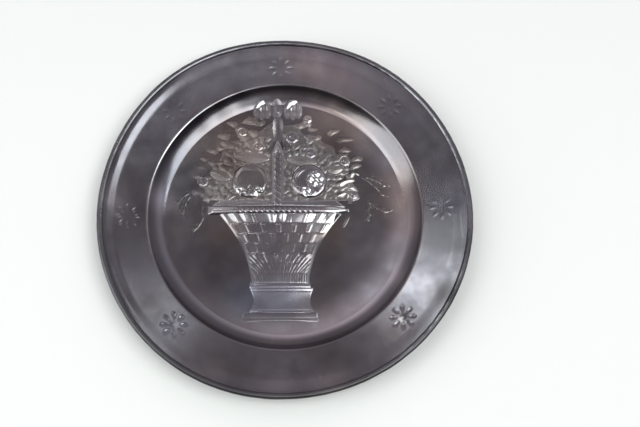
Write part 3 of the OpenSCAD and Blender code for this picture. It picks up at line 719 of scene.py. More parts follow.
# The lip is a roped band cast to lie along the top of the wall; it runs out to a point at its right end,
# which is painted bright as a highlight. It is soldered on the floor like the wall.
lip_low, lip_high = node_box("basket_lip")
lip_x = (lip_low[0] + lip_high[0]) / 2
lip_y = (lip_low[1] + lip_high[1]) / 2
lip_band = lip_high[1] - lip_low[1]
lip_half = (lip_high[0] - lip_low[0]) / 2
lip_strands = 26
lip_proud = 1.0
lip_dish = 0.3
lip_point = 4
lip_tip = 0.1
rope_t = 0.3
rope_lean = 0.3
roped_x = -0.05
roped_to = 0.62


def lip_height(x, y):
    """The band runs out to a point on the right, and its middle is roped"""
    u = np.clip((x - lip_x) / lip_half, -1, 1)
    half_band = lip_band / 2 * np.minimum(1, (1 - u) * lip_point + lip_tip)
    s = (y - lip_y) / half_band
    strand = (lip_strands * u / 2 + rope_lean * s) % 1
    roped = smooth_step((roped_to - np.abs(u - roped_x)) / 0.15)
    rope = roped * rope_t * (np.abs(np.sin(math.pi * strand)) - 1)
    front = crown * (1 - np.abs(u) ** front_round) + lip_proud
    lift = side_t + front * (1 - lip_dish * np.clip(s * s, 0, 1)) + rope
    lift = np.minimum(lift, side_slope * (lip_half - np.abs(x - lip_x)))
    return np.minimum(lift, butt * (butt_lap + (1 - np.abs(s)) * half_band))


def lip_end_highlights(x, y):
    """Painted highlights at both ends, most at the right one, and darker towards the middle"""
    u = (x - lip_x) / lip_half
    left_end = smooth_step((-u - 0.55) / 0.1)
    right_end = smooth_step((u - 0.6) / 0.15)
    return 0.35 * left_end + 0.9 * right_end - 0.4 * (1 - np.abs(u))


basket_lip = casting("basket_roped_lip", lip_low, lip_high, lip_height, fine_step, lip_end_highlights)
seat(basket_lip, "basket_lip", worn_casting)

# The inner rim is the far edge of the basket, seen over the lip: a plain smooth strip with a shallow
# crease on its left half. It is cast, and soldered on the floor behind the handle.
inner_rim_low, inner_rim_high = node_box("basket_inner_rim")
inner_rim_left = lip_low[0] + 1.5
inner_rim_taper = 0.14
crease_t = 0.25
crease_w = 0.4
crease_run = 4.6


def inner_rim_height(x, y):
    """A strip that is highest along its middle and tapers to both ends"""
    middle = (inner_rim_left + inner_rim_high[0]) / 2
    half = (inner_rim_high[0] - inner_rim_left) / 2
    up = np.clip((y - inner_rim_low[1]) / (inner_rim_high[1] - inner_rim_low[1]), 0, 1)
    u = np.clip((x - middle) / half, -1, 1)
    lift = 0.9 * side_t + 0.4 * crown * np.cos(1.47 * u) * (1.05 - np.abs(up - 0.45) ** 1.5)
    crease = ridge_at((up - 0.55 - 0.2 * u) * crease_run, crease_w) * smooth_step(-4 * u)
    inside = half * (1 - inner_rim_taper * up) - np.abs(x - middle)
    inside = np.minimum(inside, np.minimum(y - inner_rim_low[1] + 0.5, inner_rim_high[1] - y))
    return np.minimum(lift - crease_t * crease, side_slope * inside)


def inner_rim_rub(x, y):
    """Rubbed a little along its whole length"""
    return np.full_like(x, 0.3)


dark_casting = old_pewter(
    "dark_casting", (0.222, 0.205, 0.219), (0.23, 0.19, 0.182), (0.42, 0.41, 0.42), 0.2)
inner_rim = casting(
    "basket_far_rim", (inner_rim_left, inner_rim_low[1]), inner_rim_high, inner_rim_height,
    mesh_step, inner_rim_rub)
seat(inner_rim, "basket_inner_rim", dark_casting)

# Band, foot and plinth stand under the wall: a rounded roll, a waisted foot and a stepped moulding, each
# cast with the same rounded front as the wall and soldered on the floor one below the other.
band_low, band_high = node_box("basket_band")
foot_low, foot_high = node_box("basket_foot")
plinth_low, plinth_high = node_box("basket_plinth")
band_t = 0.3
foot_x = basket_x + 1
foot_top_w = 38.3
foot_base_w = 39.6
foot_waist = 2.3
foot_hollow = 0.09
foot_groove_t = 0.1
foot_groove_w = 0.45
foot_groove_run = 14.5
plinth_step = 0.54
plinth_in = 0.985
plinth_down = [0, 0.12, 0.46, 0.56, 0.62, 0.78, 1]
plinth_steps = [-0.03, 0, 0, -0.08, -0.08, -0.04, -0.1]


def band_height(x, y):
    """A half round that follows the wall's rounded front"""
    half = (band_high[0] - band_low[0]) / 2
    up = np.clip((y - band_low[1]) / (band_high[1] - band_low[1]), 0, 1)
    u = (x - basket_x) / half
    lift = rounded_front(u, y) - band_t + band_t * np.sqrt(np.clip(1 - (2 * up - 1) ** 2, 0, 1))
    lift = np.minimum(lift, steepness * (1 - np.abs(u)) * half)
    return np.minimum(lift, butted(y, band_low, band_high))


def foot_height(x, y):
    """The rounded front drawn in to a waist, with a groove near the top and the base"""
    down = np.clip((foot_high[1] - y) / (foot_high[1] - foot_low[1]), 0, 1)
    waist = np.sin(math.pi * down)
    half = foot_top_w / 2 + (foot_base_w - foot_top_w) / 2 * down - foot_waist * waist
    u = (x - foot_x) / half
    lift = rounded_front(u, y) - foot_hollow * foot_waist * waist
    for groove_at in (0.09, 0.92):
        lift = lift - foot_groove_t * ridge_at((down - groove_at) * foot_groove_run, foot_groove_w)
    lift = np.minimum(lift, steepness * (1 - np.abs(u)) * half)
    return np.minimum(lift, butted(y, foot_low, foot_high))


def foot_corner_highlights(x, y):
    """Painted highlights at both upper corners, and a little darker all over"""
    u = np.abs(x - foot_x) / (foot_top_w / 2)
    return 0.4 * ridge_at(u - 0.85, 0.12) * ridge_at(y - foot_high[1] + 1.6, 1.6) - 0.15


def plinth_height(x, y):
    """The rounded front with two shallow steps, wider below"""
    down = np.clip((plinth_high[1] - y) / (plinth_high[1] - plinth_low[1]), 0, 1)
    half = (plinth_high[0] - plinth_low[0]) / 2 * np.where(down < plinth_step, plinth_in, 1.0)
    u = (x - basket_x) / half
    inside = np.minimum((1 - np.abs(u)) * half, y - plinth_low[1])
    lift = rounded_front(u, y) + np.interp(down, plinth_down, plinth_steps)
    return np.minimum(np.minimum(lift, side_slope * inside), butt * (butt_lap + plinth_high[1] - y))


basket_band = casting("basket_roll", band_low, band_high, band_height)
seat(basket_band, "basket_band", worn_casting)
basket_foot = casting("basket_waisted_foot", foot_low, foot_high, foot_height, mesh_step, foot_corner_highlights)
seat(basket_foot, "basket_foot", worn_casting)
dull_casting = old_pewter(
    "dull_casting", (0.128, 0.118, 0.127), (0.135, 0.112, 0.107), (0.3, 0.29, 0.3), 0.2)
basket_plinth = casting("basket_moulding", plinth_low, plinth_high, plinth_height)
seat(basket_plinth, "basket_plinth", dull_casting)

# The handle is an upright bar, twisted like a cord, with a thin strand down its right side and a pointed
# finial. It is one casting, soldered on the floor.
handle_low, handle_high = node_box("basket_handle")
handle_x = -5.0
handle_half = 3.8
handle_t = 0.9
finial_y = handle_low[1] + 34.5
finial_tip = handle_high[1] + 0.8
finial_swell = 1.15
finial_curve = 1.15
finial_widest = 1.1
finial_end = 0.02
twist_step = 4.1
twist_w = 0.5
twist_t = 0.22
twist_deep_to = 16
strand_t = 0.15
rib_t = 0.2
collar_t = 0.15


def handle_place(x, y):
    """Share of the way up the finial, half the handle's width there and share of the way to its side"""
    up = np.clip((y - finial_y) / (finial_tip - finial_y), 0, 1)
    finial = np.clip(finial_swell * (1 - up ** finial_curve), finial_end, finial_widest)
    half = handle_half * np.where(up > 0, finial, 1.0)
    return up, half, (x - handle_x) / half


def twist_groove(x, y, above=0.0):
    """Share of a place in the grooves of the twist, or in a line a little above or below them"""
    up, half, u = handle_place(x, y)
    fall = ((y - handle_low[1] + 0.5 * (x - handle_x) + 0.6 * np.sin(2.2 * u)) / twist_step) % 1 - 0.5
    return ridge_at(fall * twist_step - above, twist_w) * smooth_step((0.75 - np.abs(u)) / 0.3) * (up == 0)


def low_share(y):
    """The twist is cut deeper towards the foot of the handle"""
    return 0.4 + 0.6 * smooth_step((twist_deep_to - y + handle_low[1]) / 10)


def handle_height(x, y):
    """A flat bar with rounded sides and the grooves of its twist, strand and finial"""
    up, half, u = handle_place(x, y)
    inner = np.clip(np.abs(u), 0, 1)
    lift = handle_t * (0.6 + 0.4 * smooth_step((1 - inner) / 0.18)) * (1 - 0.3 * up)
    lift = lift - twist_t * low_share(y) * twist_groove(x, y)
    lift = lift - strand_t * ridge_at((u - 0.66) * half, 0.35) * (up == 0)
    lift = lift - rib_t * ridge_at((inner - 0.45) * half, 0.5) * (up > 0)
    lift = lift - collar_t * ridge_at(y - finial_y, 0.6)
    inside = np.minimum((1 - np.abs(u)) * half, np.minimum(y - handle_low[1] + 0.5, finial_tip - y))
    return np.minimum(lift, side_slope * inside)


def handle_highlight_and_shade(x, y):
    """Painted highlight on the finial's edges and on the lower side of each twist groove, more towards the
    foot; painted shade on the upper side of each groove and along the strand; a little lighter all over
    """
    up, half, u = handle_place(x, y)
    edges = ridge_at((np.abs(u) - 0.75) * half, 0.5) * smooth_step(4 * up)
    line = ridge_at((u - 0.7) * half, 0.4) * (up == 0)
    twist = 0.4 * twist_groove(x, y, 0.3) - 0.35 * low_share(y) * twist_groove(x, y, -0.4)
    return 0.22 + 0.4 * edges - twist - 0.45 * line


handle = casting("basket_twisted_handle", handle_low, handle_high, handle_height, fine_step, handle_highlight_and_shade)
seat(handle, "basket_handle", dark_casting)

# Two round fruits lie beside the handle. Each is a casting with a flat smooth top, two crescents along one
# side, a lumpy lower part with an eye and a few scaly spots, painted bright as highlights. They are soldered
# on the floor.
fruit_t = 1.15
fruit_lap = 0.9
fruit_round = 12
scale_step = 4.2
scale_slope = 0.37
scale_side = math.radians(-47)
crescent_reach = 0.75
crescent_w = 0.8
crescents = [(0.91, 0.57), (0.72, 0.36)]
lumpy_below = -0.25
lump_t = 0.14
eye_r = 0.24
eye_t = 0.15
fruits = []


def fruit_scales(x, y):
    """Small slanting scales, which face the right and the near side"""
    along = x * math.cos(scale_side) + y * math.sin(scale_side)
    over = y * math.cos(scale_side) - x * math.sin(scale_side)
    saw = ((along + 0.9 * np.sin(1.1 * over) + 0.5 * np.sin(2.3 * over + 1)) / scale_step) % 1
    return scale_slope * scale_step * (0.5 - saw)


def scaly_share(a, b, spots):
    """How far a place on a fruit, in shares of its radius, lies in one of its scaly spots"""
    share = np.zeros_like(a)
    for across, up, spot_r in spots:
        share = np.maximum(share, np.exp(-(((a - across) ** 2 + (b - up) ** 2) / spot_r ** 2) ** 2))
    return share


def fruit_height(middle, radius, eye, spots, crescent_turn):
    """Height of a fruit; eye and spots are placed in shares of its radius"""
    def height(x, y):
        a, b = (x - middle[0]) / radius, (y - middle[1]) / radius
        ring = np.hypot(a, b)
        lift = fruit_t * (1 - ring ** fruit_round)
        rim = ridge_at(np.arctan2(b, a) - math.radians(crescent_turn), crescent_reach)
        for crescent_r, crescent_t in crescents:
            lift = lift + crescent_t * rim * ridge_at((ring - crescent_r) * radius, crescent_w)
        border = lumpy_below + 0.08 * np.sin(9 * a) + 0.05 * np.sin(17 * a + 1)
        lower = smooth_step((border - b) * 5) * smooth_step((0.95 - ring) * 6)
        lumps = np.sin(x * 1.3 + 0.8 * np.sin(y * 1.2)) * np.sin(y * 1.5 + 0.9 * np.sin(x * 0.9))
        eye_ring = ridge_at(np.hypot(a - eye[0], (b - eye[1]) * 1.6) - eye_r, 0.1)
        scaly = scaly_share(a, b, spots)
        lift = lift + lower * (1 - scaly) * (0.1 + lump_t * lumps + eye_t * eye_ring)
        return lift + scaly * fruit_scales(x, y)
    return height


def fruit_spot_highlights(middle, radius, spots, high):
    """Painted bright as a highlight in its scaly spots, and hardly elsewhere"""
    def rub_and_painted_light(x, y):
        return high * scaly_share((x - middle[0]) / radius, (y - middle[1]) / radius, spots) + 0.05
    return rub_and_painted_light


for side, eye, spots, crescent_turn, high, slot, finish in (
        ("left", (-0.02, -0.42), [(-0.58, -0.66, 0.3), (0.52, -0.64, 0.26)], 95, 0.5,
         "pewter", dark_casting),
        ("right", (-0.3, -0.5), [(0.35, 0.08, 0.45), (-0.15, -0.66, 0.26)], 140, 0.7,
         "worn_pewter", worn_casting)):
    fruit_low, fruit_high = node_box("fruit_" + side)
    fruit_at = (fruit_low + fruit_high) / 2
    fruit_r = (fruit_high[0] - fruit_low[0]) / 2 + fruit_lap
    fruits.append((fruit_at, fruit_r))
    fruit = casting(
        "fruit_dome_" + side, fruit_low, fruit_high,
        fruit_height(fruit_at, fruit_r, eye, spots, crescent_turn), fine_step,
        fruit_spot_highlights(fruit_at, fruit_r, spots, high), room=2.0)
    seat(fruit, "fruit_" + side, finish)

# Broad plain leaves fill the room between the handle and the fruits. They are thin castings with a low
# ridge, soldered on the floor, and gone browner than the rest.
broad_t = 0.7
# Stalk, heading, length and width of each leaf
broads = [
    ((-10, 37.6), 176, 23, 7.6), ((-34.5, 24), 160, 14, 7),
    ((0.5, 37.6), -8, 20, 6.6), ((26.5, 29.5), 10, 10, 6)]


def leaf(x, y, stalk, heading, long, wide, high):
    """Height of one leaf that runs from its stalk along a heading, with two flat halves and a low ridge"""
    a = math.radians(heading)
    s = ((x - stalk[0]) * math.cos(a) + (y - stalk[1]) * math.sin(a)) / long
    t = ((y - stalk[1]) * math.cos(a) - (x - stalk[0]) * math.sin(a)) / (wide / 2)
    run = np.clip(s, 0, 1)
    half = run ** 0.55 * (1 - run) ** 0.6 / 0.45
    inside = np.minimum((half - np.abs(t)) * wide / 2, np.minimum(s, 1 - s) * long)
    roof = 1 - np.sqrt((t / np.maximum(half, 0.001)) ** 2 + 0.02)
    body = (0.15 + 0.85 * roof) * np.sin(math.pi * np.clip(run * 0.85 + 0.1, 0, 1)) ** 0.7
    return np.where(inside > 0, np.minimum(high * body, side_slope * inside), side_slope * inside)


def bare(x):
    """Field of heights with nothing on it yet"""
    return np.full(x.shape, -1.0)


def press(field, x, y, at, reach, shape):
    """Lays one small shape into a field of heights, over what is lower there"""
    near = (np.abs(x - at[0]) < reach) & (np.abs(y - at[1]) < reach)
    field[near] = np.maximum(field[near], shape(x[near], y[near]))


def broad_height(x, y):
    """All broad leaves"""
    field = bare(x)
    for stalk, heading, long, wide in broads:
        press(field, x, y, stalk, long + 2,
              lambda a, b: leaf(a, b, stalk, heading, long, wide, broad_t))
    return field


def broad_rub(x, y):
    """A little paler than the small leaves, most along the middle of the plate"""
    return 0.4 - 0.002 * np.abs(x - handle_x)


broad_low, broad_high = node_box("broad_leaves")
brown_casting = old_pewter(
    "brown_casting", (0.196, 0.177, 0.181), (0.213, 0.17, 0.16), (0.4, 0.372, 0.36), 0.28)
broad_leaves = casting("broad_plain_leaves", broad_low, broad_high, broad_height, mesh_step, broad_rub)
seat(broad_leaves, "broad_leaves", brown_casting)

# The flower heads are small round castings among the leaves, each a ring of petals round a raised boss.
# They are soldered on the floor one by one.
flower_t = 0.85
flower_petal_t = 0.16
flower_notch = 0.1
flower_ring = [0, 0.2, 0.42, 0.58, 0.78, 1]
flower_rise = [0.85, 0.82, 0.5, 0.62, 0.75, 0.35]
# Place, radius and number of petals of each flower
flowers = [
    (4, 52.2, 4.6, 8), (14, 64.5, 3, 6), (15.9, 41.3, 3.6, 6), (37.5, 36, 3.6, 7), (42.6, 13.5, 3.2, 6),
    (-17, 46, 3.2, 6), (-27.3, 55.6, 3.2, 6), (-51.5, 22, 3.3, 7)]


def flower(x, y, middle, radius, petals):
    """Height of one flower: boss, hollow and a ring of petals"""
    ring = np.hypot(x - middle[0], y - middle[1]) / radius
    side = np.arctan2(y - middle[1], x - middle[0])
    petal = (1 + np.cos(petals * side + middle[0])) / 2
    rise = np.interp(ring, flower_ring, flower_rise)
    rise = rise + flower_petal_t * petal * np.interp(ring, [0.4, 0.75, 1], [0, 1, 0.4])
    border = (1 - flower_notch * (1 - petal) - ring) * radius
    return np.minimum(flower_t * rise, 0.8 * side_slope * border)


def flowers_height(x, y):
    """All flower heads"""
    field = bare(x)
    for across, up, radius, petals in flowers:
        press(field, x, y, (across, up), radius + 1,
              lambda a, b: flower(a, b, (across, up), radius, petals))
    return field


flower_low, flower_high = node_box("flower_heads")
rosettes = casting("flower_rosettes", flower_low, flower_high, flowers_height, fine_step)
seat(rosettes, "flower_heads", dark_casting)

# Two banks of leaves spread from the basket to both sides. Each is one casting of soft leaves that overlap
# like tiles and lean to the left and the far side; a few on the right lean to the right and are painted
# bright as a highlight.
fan_at = (-4.0, 6.4)
fan_r = 53.0
fan_in = 9
fan_tall = 10
fan_side = 0.02
fan_edge = 0.3
ground_t = 0.1
lump_high = 0.05
under_broad = 0.3
leaf_soft = 1
leaf_t = 0.5
leaf_edge = 0.3
leaf_dome = 0.6
bright_leaf_t = 0.85
bank_depth = 0.17
bank_lap = 0.7
bank_overlap = 0.5
small_leaf = (6.8, 4.2)
small_step = 4.0
small_shift = 2.6
small_swing = 110
small_growth = 0.7
# Middle, heading, length and width of each leaf
left_leaves = [
    (-22, 63, 170, 11.5, 6), (-20.5, 54.5, 150, 8, 5.5), (-14.5, 52, 20, 6.5, 4), (-26.5, 51.5, 150, 10, 5),
    (-29.5, 57, 100, 6, 6), (-33.5, 61, 160, 8, 4.5), (-39, 52.5, 170, 8.5, 5),
    (-36.5, 46.5, 165, 13.5, 5.5), (-41.5, 44.5, 190, 7, 4), (-45.5, 42.5, 175, 7.5, 4),
    (-38, 41.5, 40, 5.5, 3.5), (-45.5, 34, 160, 6.5, 4), (-29.5, 44, 30, 6.5, 5), (-21.5, 49, 170, 6, 4),
    (-25.5, 46.5, 20, 6.5, 3), (-14.5, 45.5, 10, 8.5, 4.5), (-51, 37, 170, 5.5, 3),
    (-52.5, 31.5, 180, 6, 2.5), (-41.5, 34.5, 100, 3, 5), (-50.5, 21.5, 170, 11.5, 6.5),
    (-54.5, 25.5, 160, 7, 4), (-55.5, 15, 180, 7, 3.5), (-51.5, 13.5, 20, 5, 2.5), (-46, 14.5, 45, 5, 2.5),
    (-16, 61.5, 20, 7, 3.5), (-31.5, 38, 60, 4, 2.5)]
right_leaves = [
    (13.5, 62, 0, 6.5, 6), (17, 57.5, 0, 6.5, 2.5), (8.5, 60, 10, 10.5, 4.5), (15, 51, -30, 9.5, 4),
    (20, 51.5, 30, 6.5, 3.5), (23, 46, -20, 7, 3.5), (17.5, 42, 60, 6, 4.5), (10, 42, 10, 6, 2.5),
    (24.5, 39, 60, 7, 6), (35.5, 38.5, 170, 10, 6), (45, 37.5, 10, 8, 3.5), (44, 32.5, 20, 8, 3.5),
    (37.5, 31.5, 100, 5.5, 5.5), (33, 28.5, 170, 9, 6), (29, 20, 10, 5.5, 3), (27, 14.5, 150, 5, 3),
    (13.5, 47, -20, 6.5, 3)]
faint_leaves = [
    (30, 55.5, 20, 8.5, 4), (37, 50.5, 5, 11, 4), (37.5, 43.5, 0, 7.5, 4.5)]
bright_leaves = [
    (37, 21.5, 20, 14, 4.5), (41, 18, 15, 7, 2.5), (34.5, 13.5, 25, 11, 3), (42, 27, 60, 6, 3.5),
    (44.5, 27.5, -20, 4.5, 2.5)]
# Heading in which a leaf falls away, and how steeply
left_lean = (135, 0.06)
right_lean = (135, 0.04)
bright_lean = (-57, 0.35)
faint_at = (35, 50)
faint_spread = (9, 8)
# Middle and spread of the painted highlight on the leaves right of the fruit
bright_at = (38, 19)
bright_spread = (7, 6)


def soft_leaf(x, y, middle, heading, long, wide, lean, domed):
    """Height of one leaf: an oval dome that leans, so that one edge lies low and the other stands up"""
    a, lean_turn = math.radians(heading), math.radians(lean[0])
    away_x, away_y = x - middle[0], y - middle[1]
    s = (away_x * math.cos(a) + away_y * math.sin(a)) / (long / 2)
    t = (away_y * math.cos(a) - away_x * math.sin(a)) / (wide / 2)
    side = np.arctan2(t, s)
    lobes = 1 + 0.14 * np.sin(3 * side + middle[0]) + 0.08 * np.sin(7 * side + middle[1])
    ring = np.hypot(s, t) * np.where(domed, lobes, 1)
    lift = np.where(domed, leaf_t, bright_leaf_t) - leaf_dome * leaf_t * domed * ring ** 2
    lift = lift - lean[1] * (away_x * math.cos(lean_turn) + away_y * math.sin(lean_turn))
    edge = leaf_edge if domed else steepness
    return np.minimum(lift, edge * (1 - ring) * wide / 2)


def scatter(i, k):
    """Even spread of numbers between -0.5 and 0.5, so that the small leaves don't stand in step"""
    return (i * 0.618 + k * 0.414 + 0.3 * i * k) % 1 - 0.5


def small_leaves(low, high):
    """Small leaves that fill the bank between the large ones"""
    places = []
    for i, across in enumerate(np.arange(low[0], high[0], small_step)):
        for k, up in enumerate(np.arange(low[1], high[1], small_step)):
            x = across + small_shift * scatter(i, k)
            y = up + small_shift * scatter(k + 5, i)
            if math.hypot(x - fan_at[0], y - fan_at[1]) < fan_r - 5 and y > fan_at[1] + 3:
                outward = math.degrees(math.atan2(y - fan_at[1], x - fan_at[0]))
                heading = outward + small_swing * scatter(i + 3, k + 2)
                grown = 1 + small_growth * scatter(i + 1, k + 4)
                places.append((x, y, heading, small_leaf[0] * grown, small_leaf[1] * grown))
    return places


def room_beside(x, y):
    """Distance to the nearest casting that stands higher than the leaves"""
    room = np.abs(x - handle_x) - handle_half
    room = np.maximum(room, y - handle_high[1])
    for middle, radius in fruits:
        room = np.minimum(room, np.hypot(x - middle[0], y - middle[1]) - radius)
    for across, up, radius, petals in flowers:
        room = np.minimum(room, np.hypot(x - across, y - up) - radius)
    return np.minimum(room, np.maximum(np.abs(x - lip_x) - lip_half, y - inner_rim_high[1]))


def bank_height(side, groups):
    """One bank's ground with its leaves, cut back beside what stands higher"""
    def height(x, y):
        a = np.arctan2(y - fan_at[1], x - fan_at[0])
        r = np.hypot(x - fan_at[0], y - fan_at[1])
        lumps = lump_high * np.sin(1.1 * x + np.sin(0.9 * y)) * np.sin(1.3 * y + np.sin(0.7 * x))
        border = fan_r - fan_in + fan_tall * np.sin(a) ** 2 + 1.5 * np.sin(9 * a) + np.sin(23 * a + 1)
        inside = np.minimum(border - r, np.minimum(a - fan_side, math.pi - fan_side - a) * r)
        field = np.minimum(ground_t + lumps, fan_edge * inside)
        for lean, domed, leaves in groups:
            for across, up, heading, long, wide in leaves:
                press(field, x, y, (across, up), long, lambda p, q: soft_leaf(
                    p, q, (across, up), heading, long, wide, lean, domed))
        for stalk, heading, long, wide in broads:
            over = leaf(x, y, stalk, heading, long, wide, broad_t)
            field = np.where(over > 0, np.minimum(field, under_broad * ground_t), field)
        field = blurred(np.maximum(field, -casting_root), leaf_soft)
        room = np.minimum(room_beside(x, y) + bank_lap, side * (x - handle_x) + bank_overlap)
        return np.minimum(field, steepness * room)
    return height


def bank_highlight_and_tone(x, y):
    """A painted highlight on the leaves right of the fruit, darker on the faint leaves at the upper right,
    and a little darker all over
    """
    faint = ridge_at(x - faint_at[0], faint_spread[0]) * ridge_at(y - faint_at[1], faint_spread[1])
    rubbed_and_highlight = ridge_at(x - bright_at[0], bright_spread[0]) * ridge_at(y - bright_at[1], bright_spread[1])
    return 0.6 * rubbed_and_highlight - 0.5 * faint - 0.06


left_groups = [(left_lean, 1, left_leaves)]
right_groups = [
    (right_lean, 1, right_leaves), (right_lean, 0.3, faint_leaves), (bright_lean, 0, bright_leaves)]
for name, side, groups in (("left", -1, left_groups), ("right", 1, right_groups)):
    bank_low, bank_high = node_box("leaf_bank_" + name)
    groups.append((right_lean, 1, small_leaves(bank_low, bank_high)))
    bank = casting(
        "leaf_fan_" + name, bank_low, bank_high, bank_height(side, groups), mesh_step, bank_highlight_and_tone, bank_depth)
    seat(bank, "leaf_bank_" + name, brown_casting)

# Three open blossoms stand at the top, over the wall of the well, on a short stem above the handle. They
# are one casting, bent to the curve of the wall and soldered on.
blossom_low, blossom_high = node_box("top_blossoms")
blossom_over = np.array([2, 2, 0])
petal_foot = 63.0
petal_top = 80.5
petal_t = 0.85
petal_lean = 0.4
petal_edge = 0.7
petal_round = 0.2
flute_t = 0.16
lean_from = 74
lean_side = math.radians(126)
# Place across and width of each blossom
outer_blossoms = [(-15, 11.6), (4.7, 12)]
middle_blossom = (-5.6, 7.6)
middle_y = 72
middle_half_h = 7.2
middle_lie = 0.9
bud_x = middle_blossom[0] + 0.5
bud_y = 69.6
bud_half_w = 1.3
bud_half_h = 1.1
bud_t = 1.3 * petal_t
stem_y = 58
stem_half_w = 3.8
stem_half_h = 10
stem_t = 0.4
stem_top = 66
flower_beside = flowers[1]
flower_lap = 0.2


def open_blossom(x, y, across, half_w):
    """Height of an outer blossom over the floor: fluted, flat at its foot, and leaning on the well's wall"""
    middle = (petal_foot + petal_top) / 2
    t = (x - across) / half_w
    out = np.maximum(y - middle, 0.5 * (middle - y)) / (petal_top - middle)
    inside = (1 - np.hypot(t, out)) * half_w
    tip = (x - across) * math.cos(lean_side) + (y - lean_from) * math.sin(lean_side)
    rise = petal_t * smooth_step((y - petal_foot) / 8) + petal_lean * np.clip(tip, 0, None)
    flutes = flute_t * (1 - np.cos(3 * math.pi * t)) / 2
    return np.minimum(rise - flutes - petal_round * np.clip(t * t, 0, 1), petal_edge * inside)


def dome(x, y, across, up, half_w, half_h, high):
    """Height of an oval dome, below zero outside it"""
    return high * (1 - ((x - across) / half_w) ** 2 - ((y - up) / half_h) ** 2)


def blossoms_height(x, y):
    """Stem, the lying middle blossom with its bud, and the two open blossoms"""
    field = dome(x, y, handle_x, stem_y, stem_half_w, stem_half_h, stem_t)
    lying = dome(x, y, middle_blossom[0], middle_y, middle_blossom[1] / 2, middle_half_h, petal_t)
    field = np.maximum(field, lying + middle_lie * upper_height(x, y))
    field = np.maximum(field, dome(x, y, bud_x, bud_y, bud_half_w, bud_half_h, bud_t))
    for across, wide in outer_blossoms:
        field = np.maximum(field, open_blossom(x, y, across, wide / 2))
    room = np.hypot(x - flower_beside[0], y - flower_beside[1]) - flower_beside[2] + flower_lap
    return np.minimum(field - upper_height(x, y), steepness * room)


def blossoms_highlight_and_tone(x, y):
    """The outer blossoms are painted brighter, their petals' tips most, as highlights; the stem is a little
    lighter and the middle blossom darker
    """
    on_stem = smooth_step((stem_top - y) / 3)
    outer = smooth_step((np.abs(x - middle_blossom[0]) - 3.5) / 1.5)
    tips = outer * smooth_step((y - lean_from - 1) / 3)
    return 0.55 * outer - 0.35 + 0.6 * tips + 0.4 * on_stem


blossoms = casting(
    "three_blossoms", blossom_low, blossom_high + blossom_over, blossoms_height, fine_step, blossoms_highlight_and_tone)
seat(blossoms, "top_blossoms", worn_casting)

# Thin tendrils trail from both ends of the lip, with small leaves along them, and two leaves hang beside
# the lip. They are fine wire and snippets of sheet, soldered on the floor.
tendril_t = 0.4
tendril_half = 0.75
tendril_round = 1.2
tendril_dots = 30
leaflet_t = 0.2
leaflet_long = 4.6
leaflet_wide = 1.5
leaflet_turn = 40
leaflets = 5
# Root, heading, length and bend of each tendril
trails = [
    ((49.5, 25.5), -5, 14, -40), ((48.5, 25), -28, 17, -30), ((51.5, 10), -48, 14, 30),
    ((51.5, 10), -78, 13, -25), ((-60.5, 14.5), 205, 9, 45), ((-59.5, 12.5), 235, 12, 30),
    ((-51, -1.2), 252, 10, -30)]
# Stalk, heading, length and width of each hanging leaf
pendants = [((-50.8, 7.2), 268, 7.5, 3.6), ((39.8, 0.4), 242, 10, 2.2)]


def trail_at(trail, share):
    """Place on a tendril, which starts at its root along a heading and bends evenly"""
    root, heading, long, bend = trail
    a, b = math.radians(heading), math.radians(bend)
    r = long / b
    return (root[0] + r * (math.sin(a + b * share) - math.sin(a)),
            root[1] + r * (math.cos(a) - math.cos(a + b * share)))


def tendrils_height(x, y):
    """All tendrils with their leaflets, and the hanging leaves"""
    field = bare(x)
    for trail in trails:
        for k in range(tendril_dots + 1):
            at = trail_at(trail, k / tendril_dots)
            press(field, x, y, at, 2 * tendril_half, lambda a, b: np.minimum(
                tendril_t, tendril_round * (tendril_half - np.hypot(a - at[0], b - at[1]))))
        for k in range(leaflets):
            at = trail_at(trail, (k + 1) / leaflets)
            side = 1 if k % 2 == 0 else -1
            heading = trail[1] + trail[3] * (k + 0.5) / leaflets + side * leaflet_turn
            press(field, x, y, at, leaflet_long + 0.4, lambda a, b: leaf(
                a, b, at, heading, leaflet_long, leaflet_wide, leaflet_t))
    for stalk, heading, long, wide in pendants:
        press(field, x, y, stalk, long + 1, lambda a, b: leaf(a, b, stalk, heading, long, wide, tendril_t))
    return field


def tendrils_rub(x, y):
    """Dull, a little less so near the lip"""
    return -0.15 - 0.1 * smooth_step((np.abs(x) - 45) / 20)


tendril_low, tendril_high = node_box("tendrils")
tendrils = casting("trailing_tendrils", tendril_low, tendril_high, tendrils_height, fine_step, tendrils_rub)
seat(tendrils, "tendrils", dull_casting)

# The hanger strap is a strip of pewter bent round the loop's top bar and soldered under the rim at both
# ends. Its solid keeps its shape and takes the dark finish.
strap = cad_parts["hanger_strap"]
strap.data.materials.clear()
strap.data.materials.append(old_pewter(
    "strap_pewter", (0.3, 0.29, 0.3), (0.28, 0.24, 0.23), (0.5, 0.5, 0.51), 0.36))

# The hanging loop is a wire bent to a long ring, which swings in the strap and takes the nail in the wall.
# Its solid keeps its shape and has a brighter finish of drawn wire.
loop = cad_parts["hanging_loop"]
loop.data.materials.clear()
loop.data.materials.append(old_pewter(
    "hanger_wire", (0.5, 0.49, 0.48), (0.42, 0.38, 0.35), (0.62, 0.62, 0.62), 0.3))

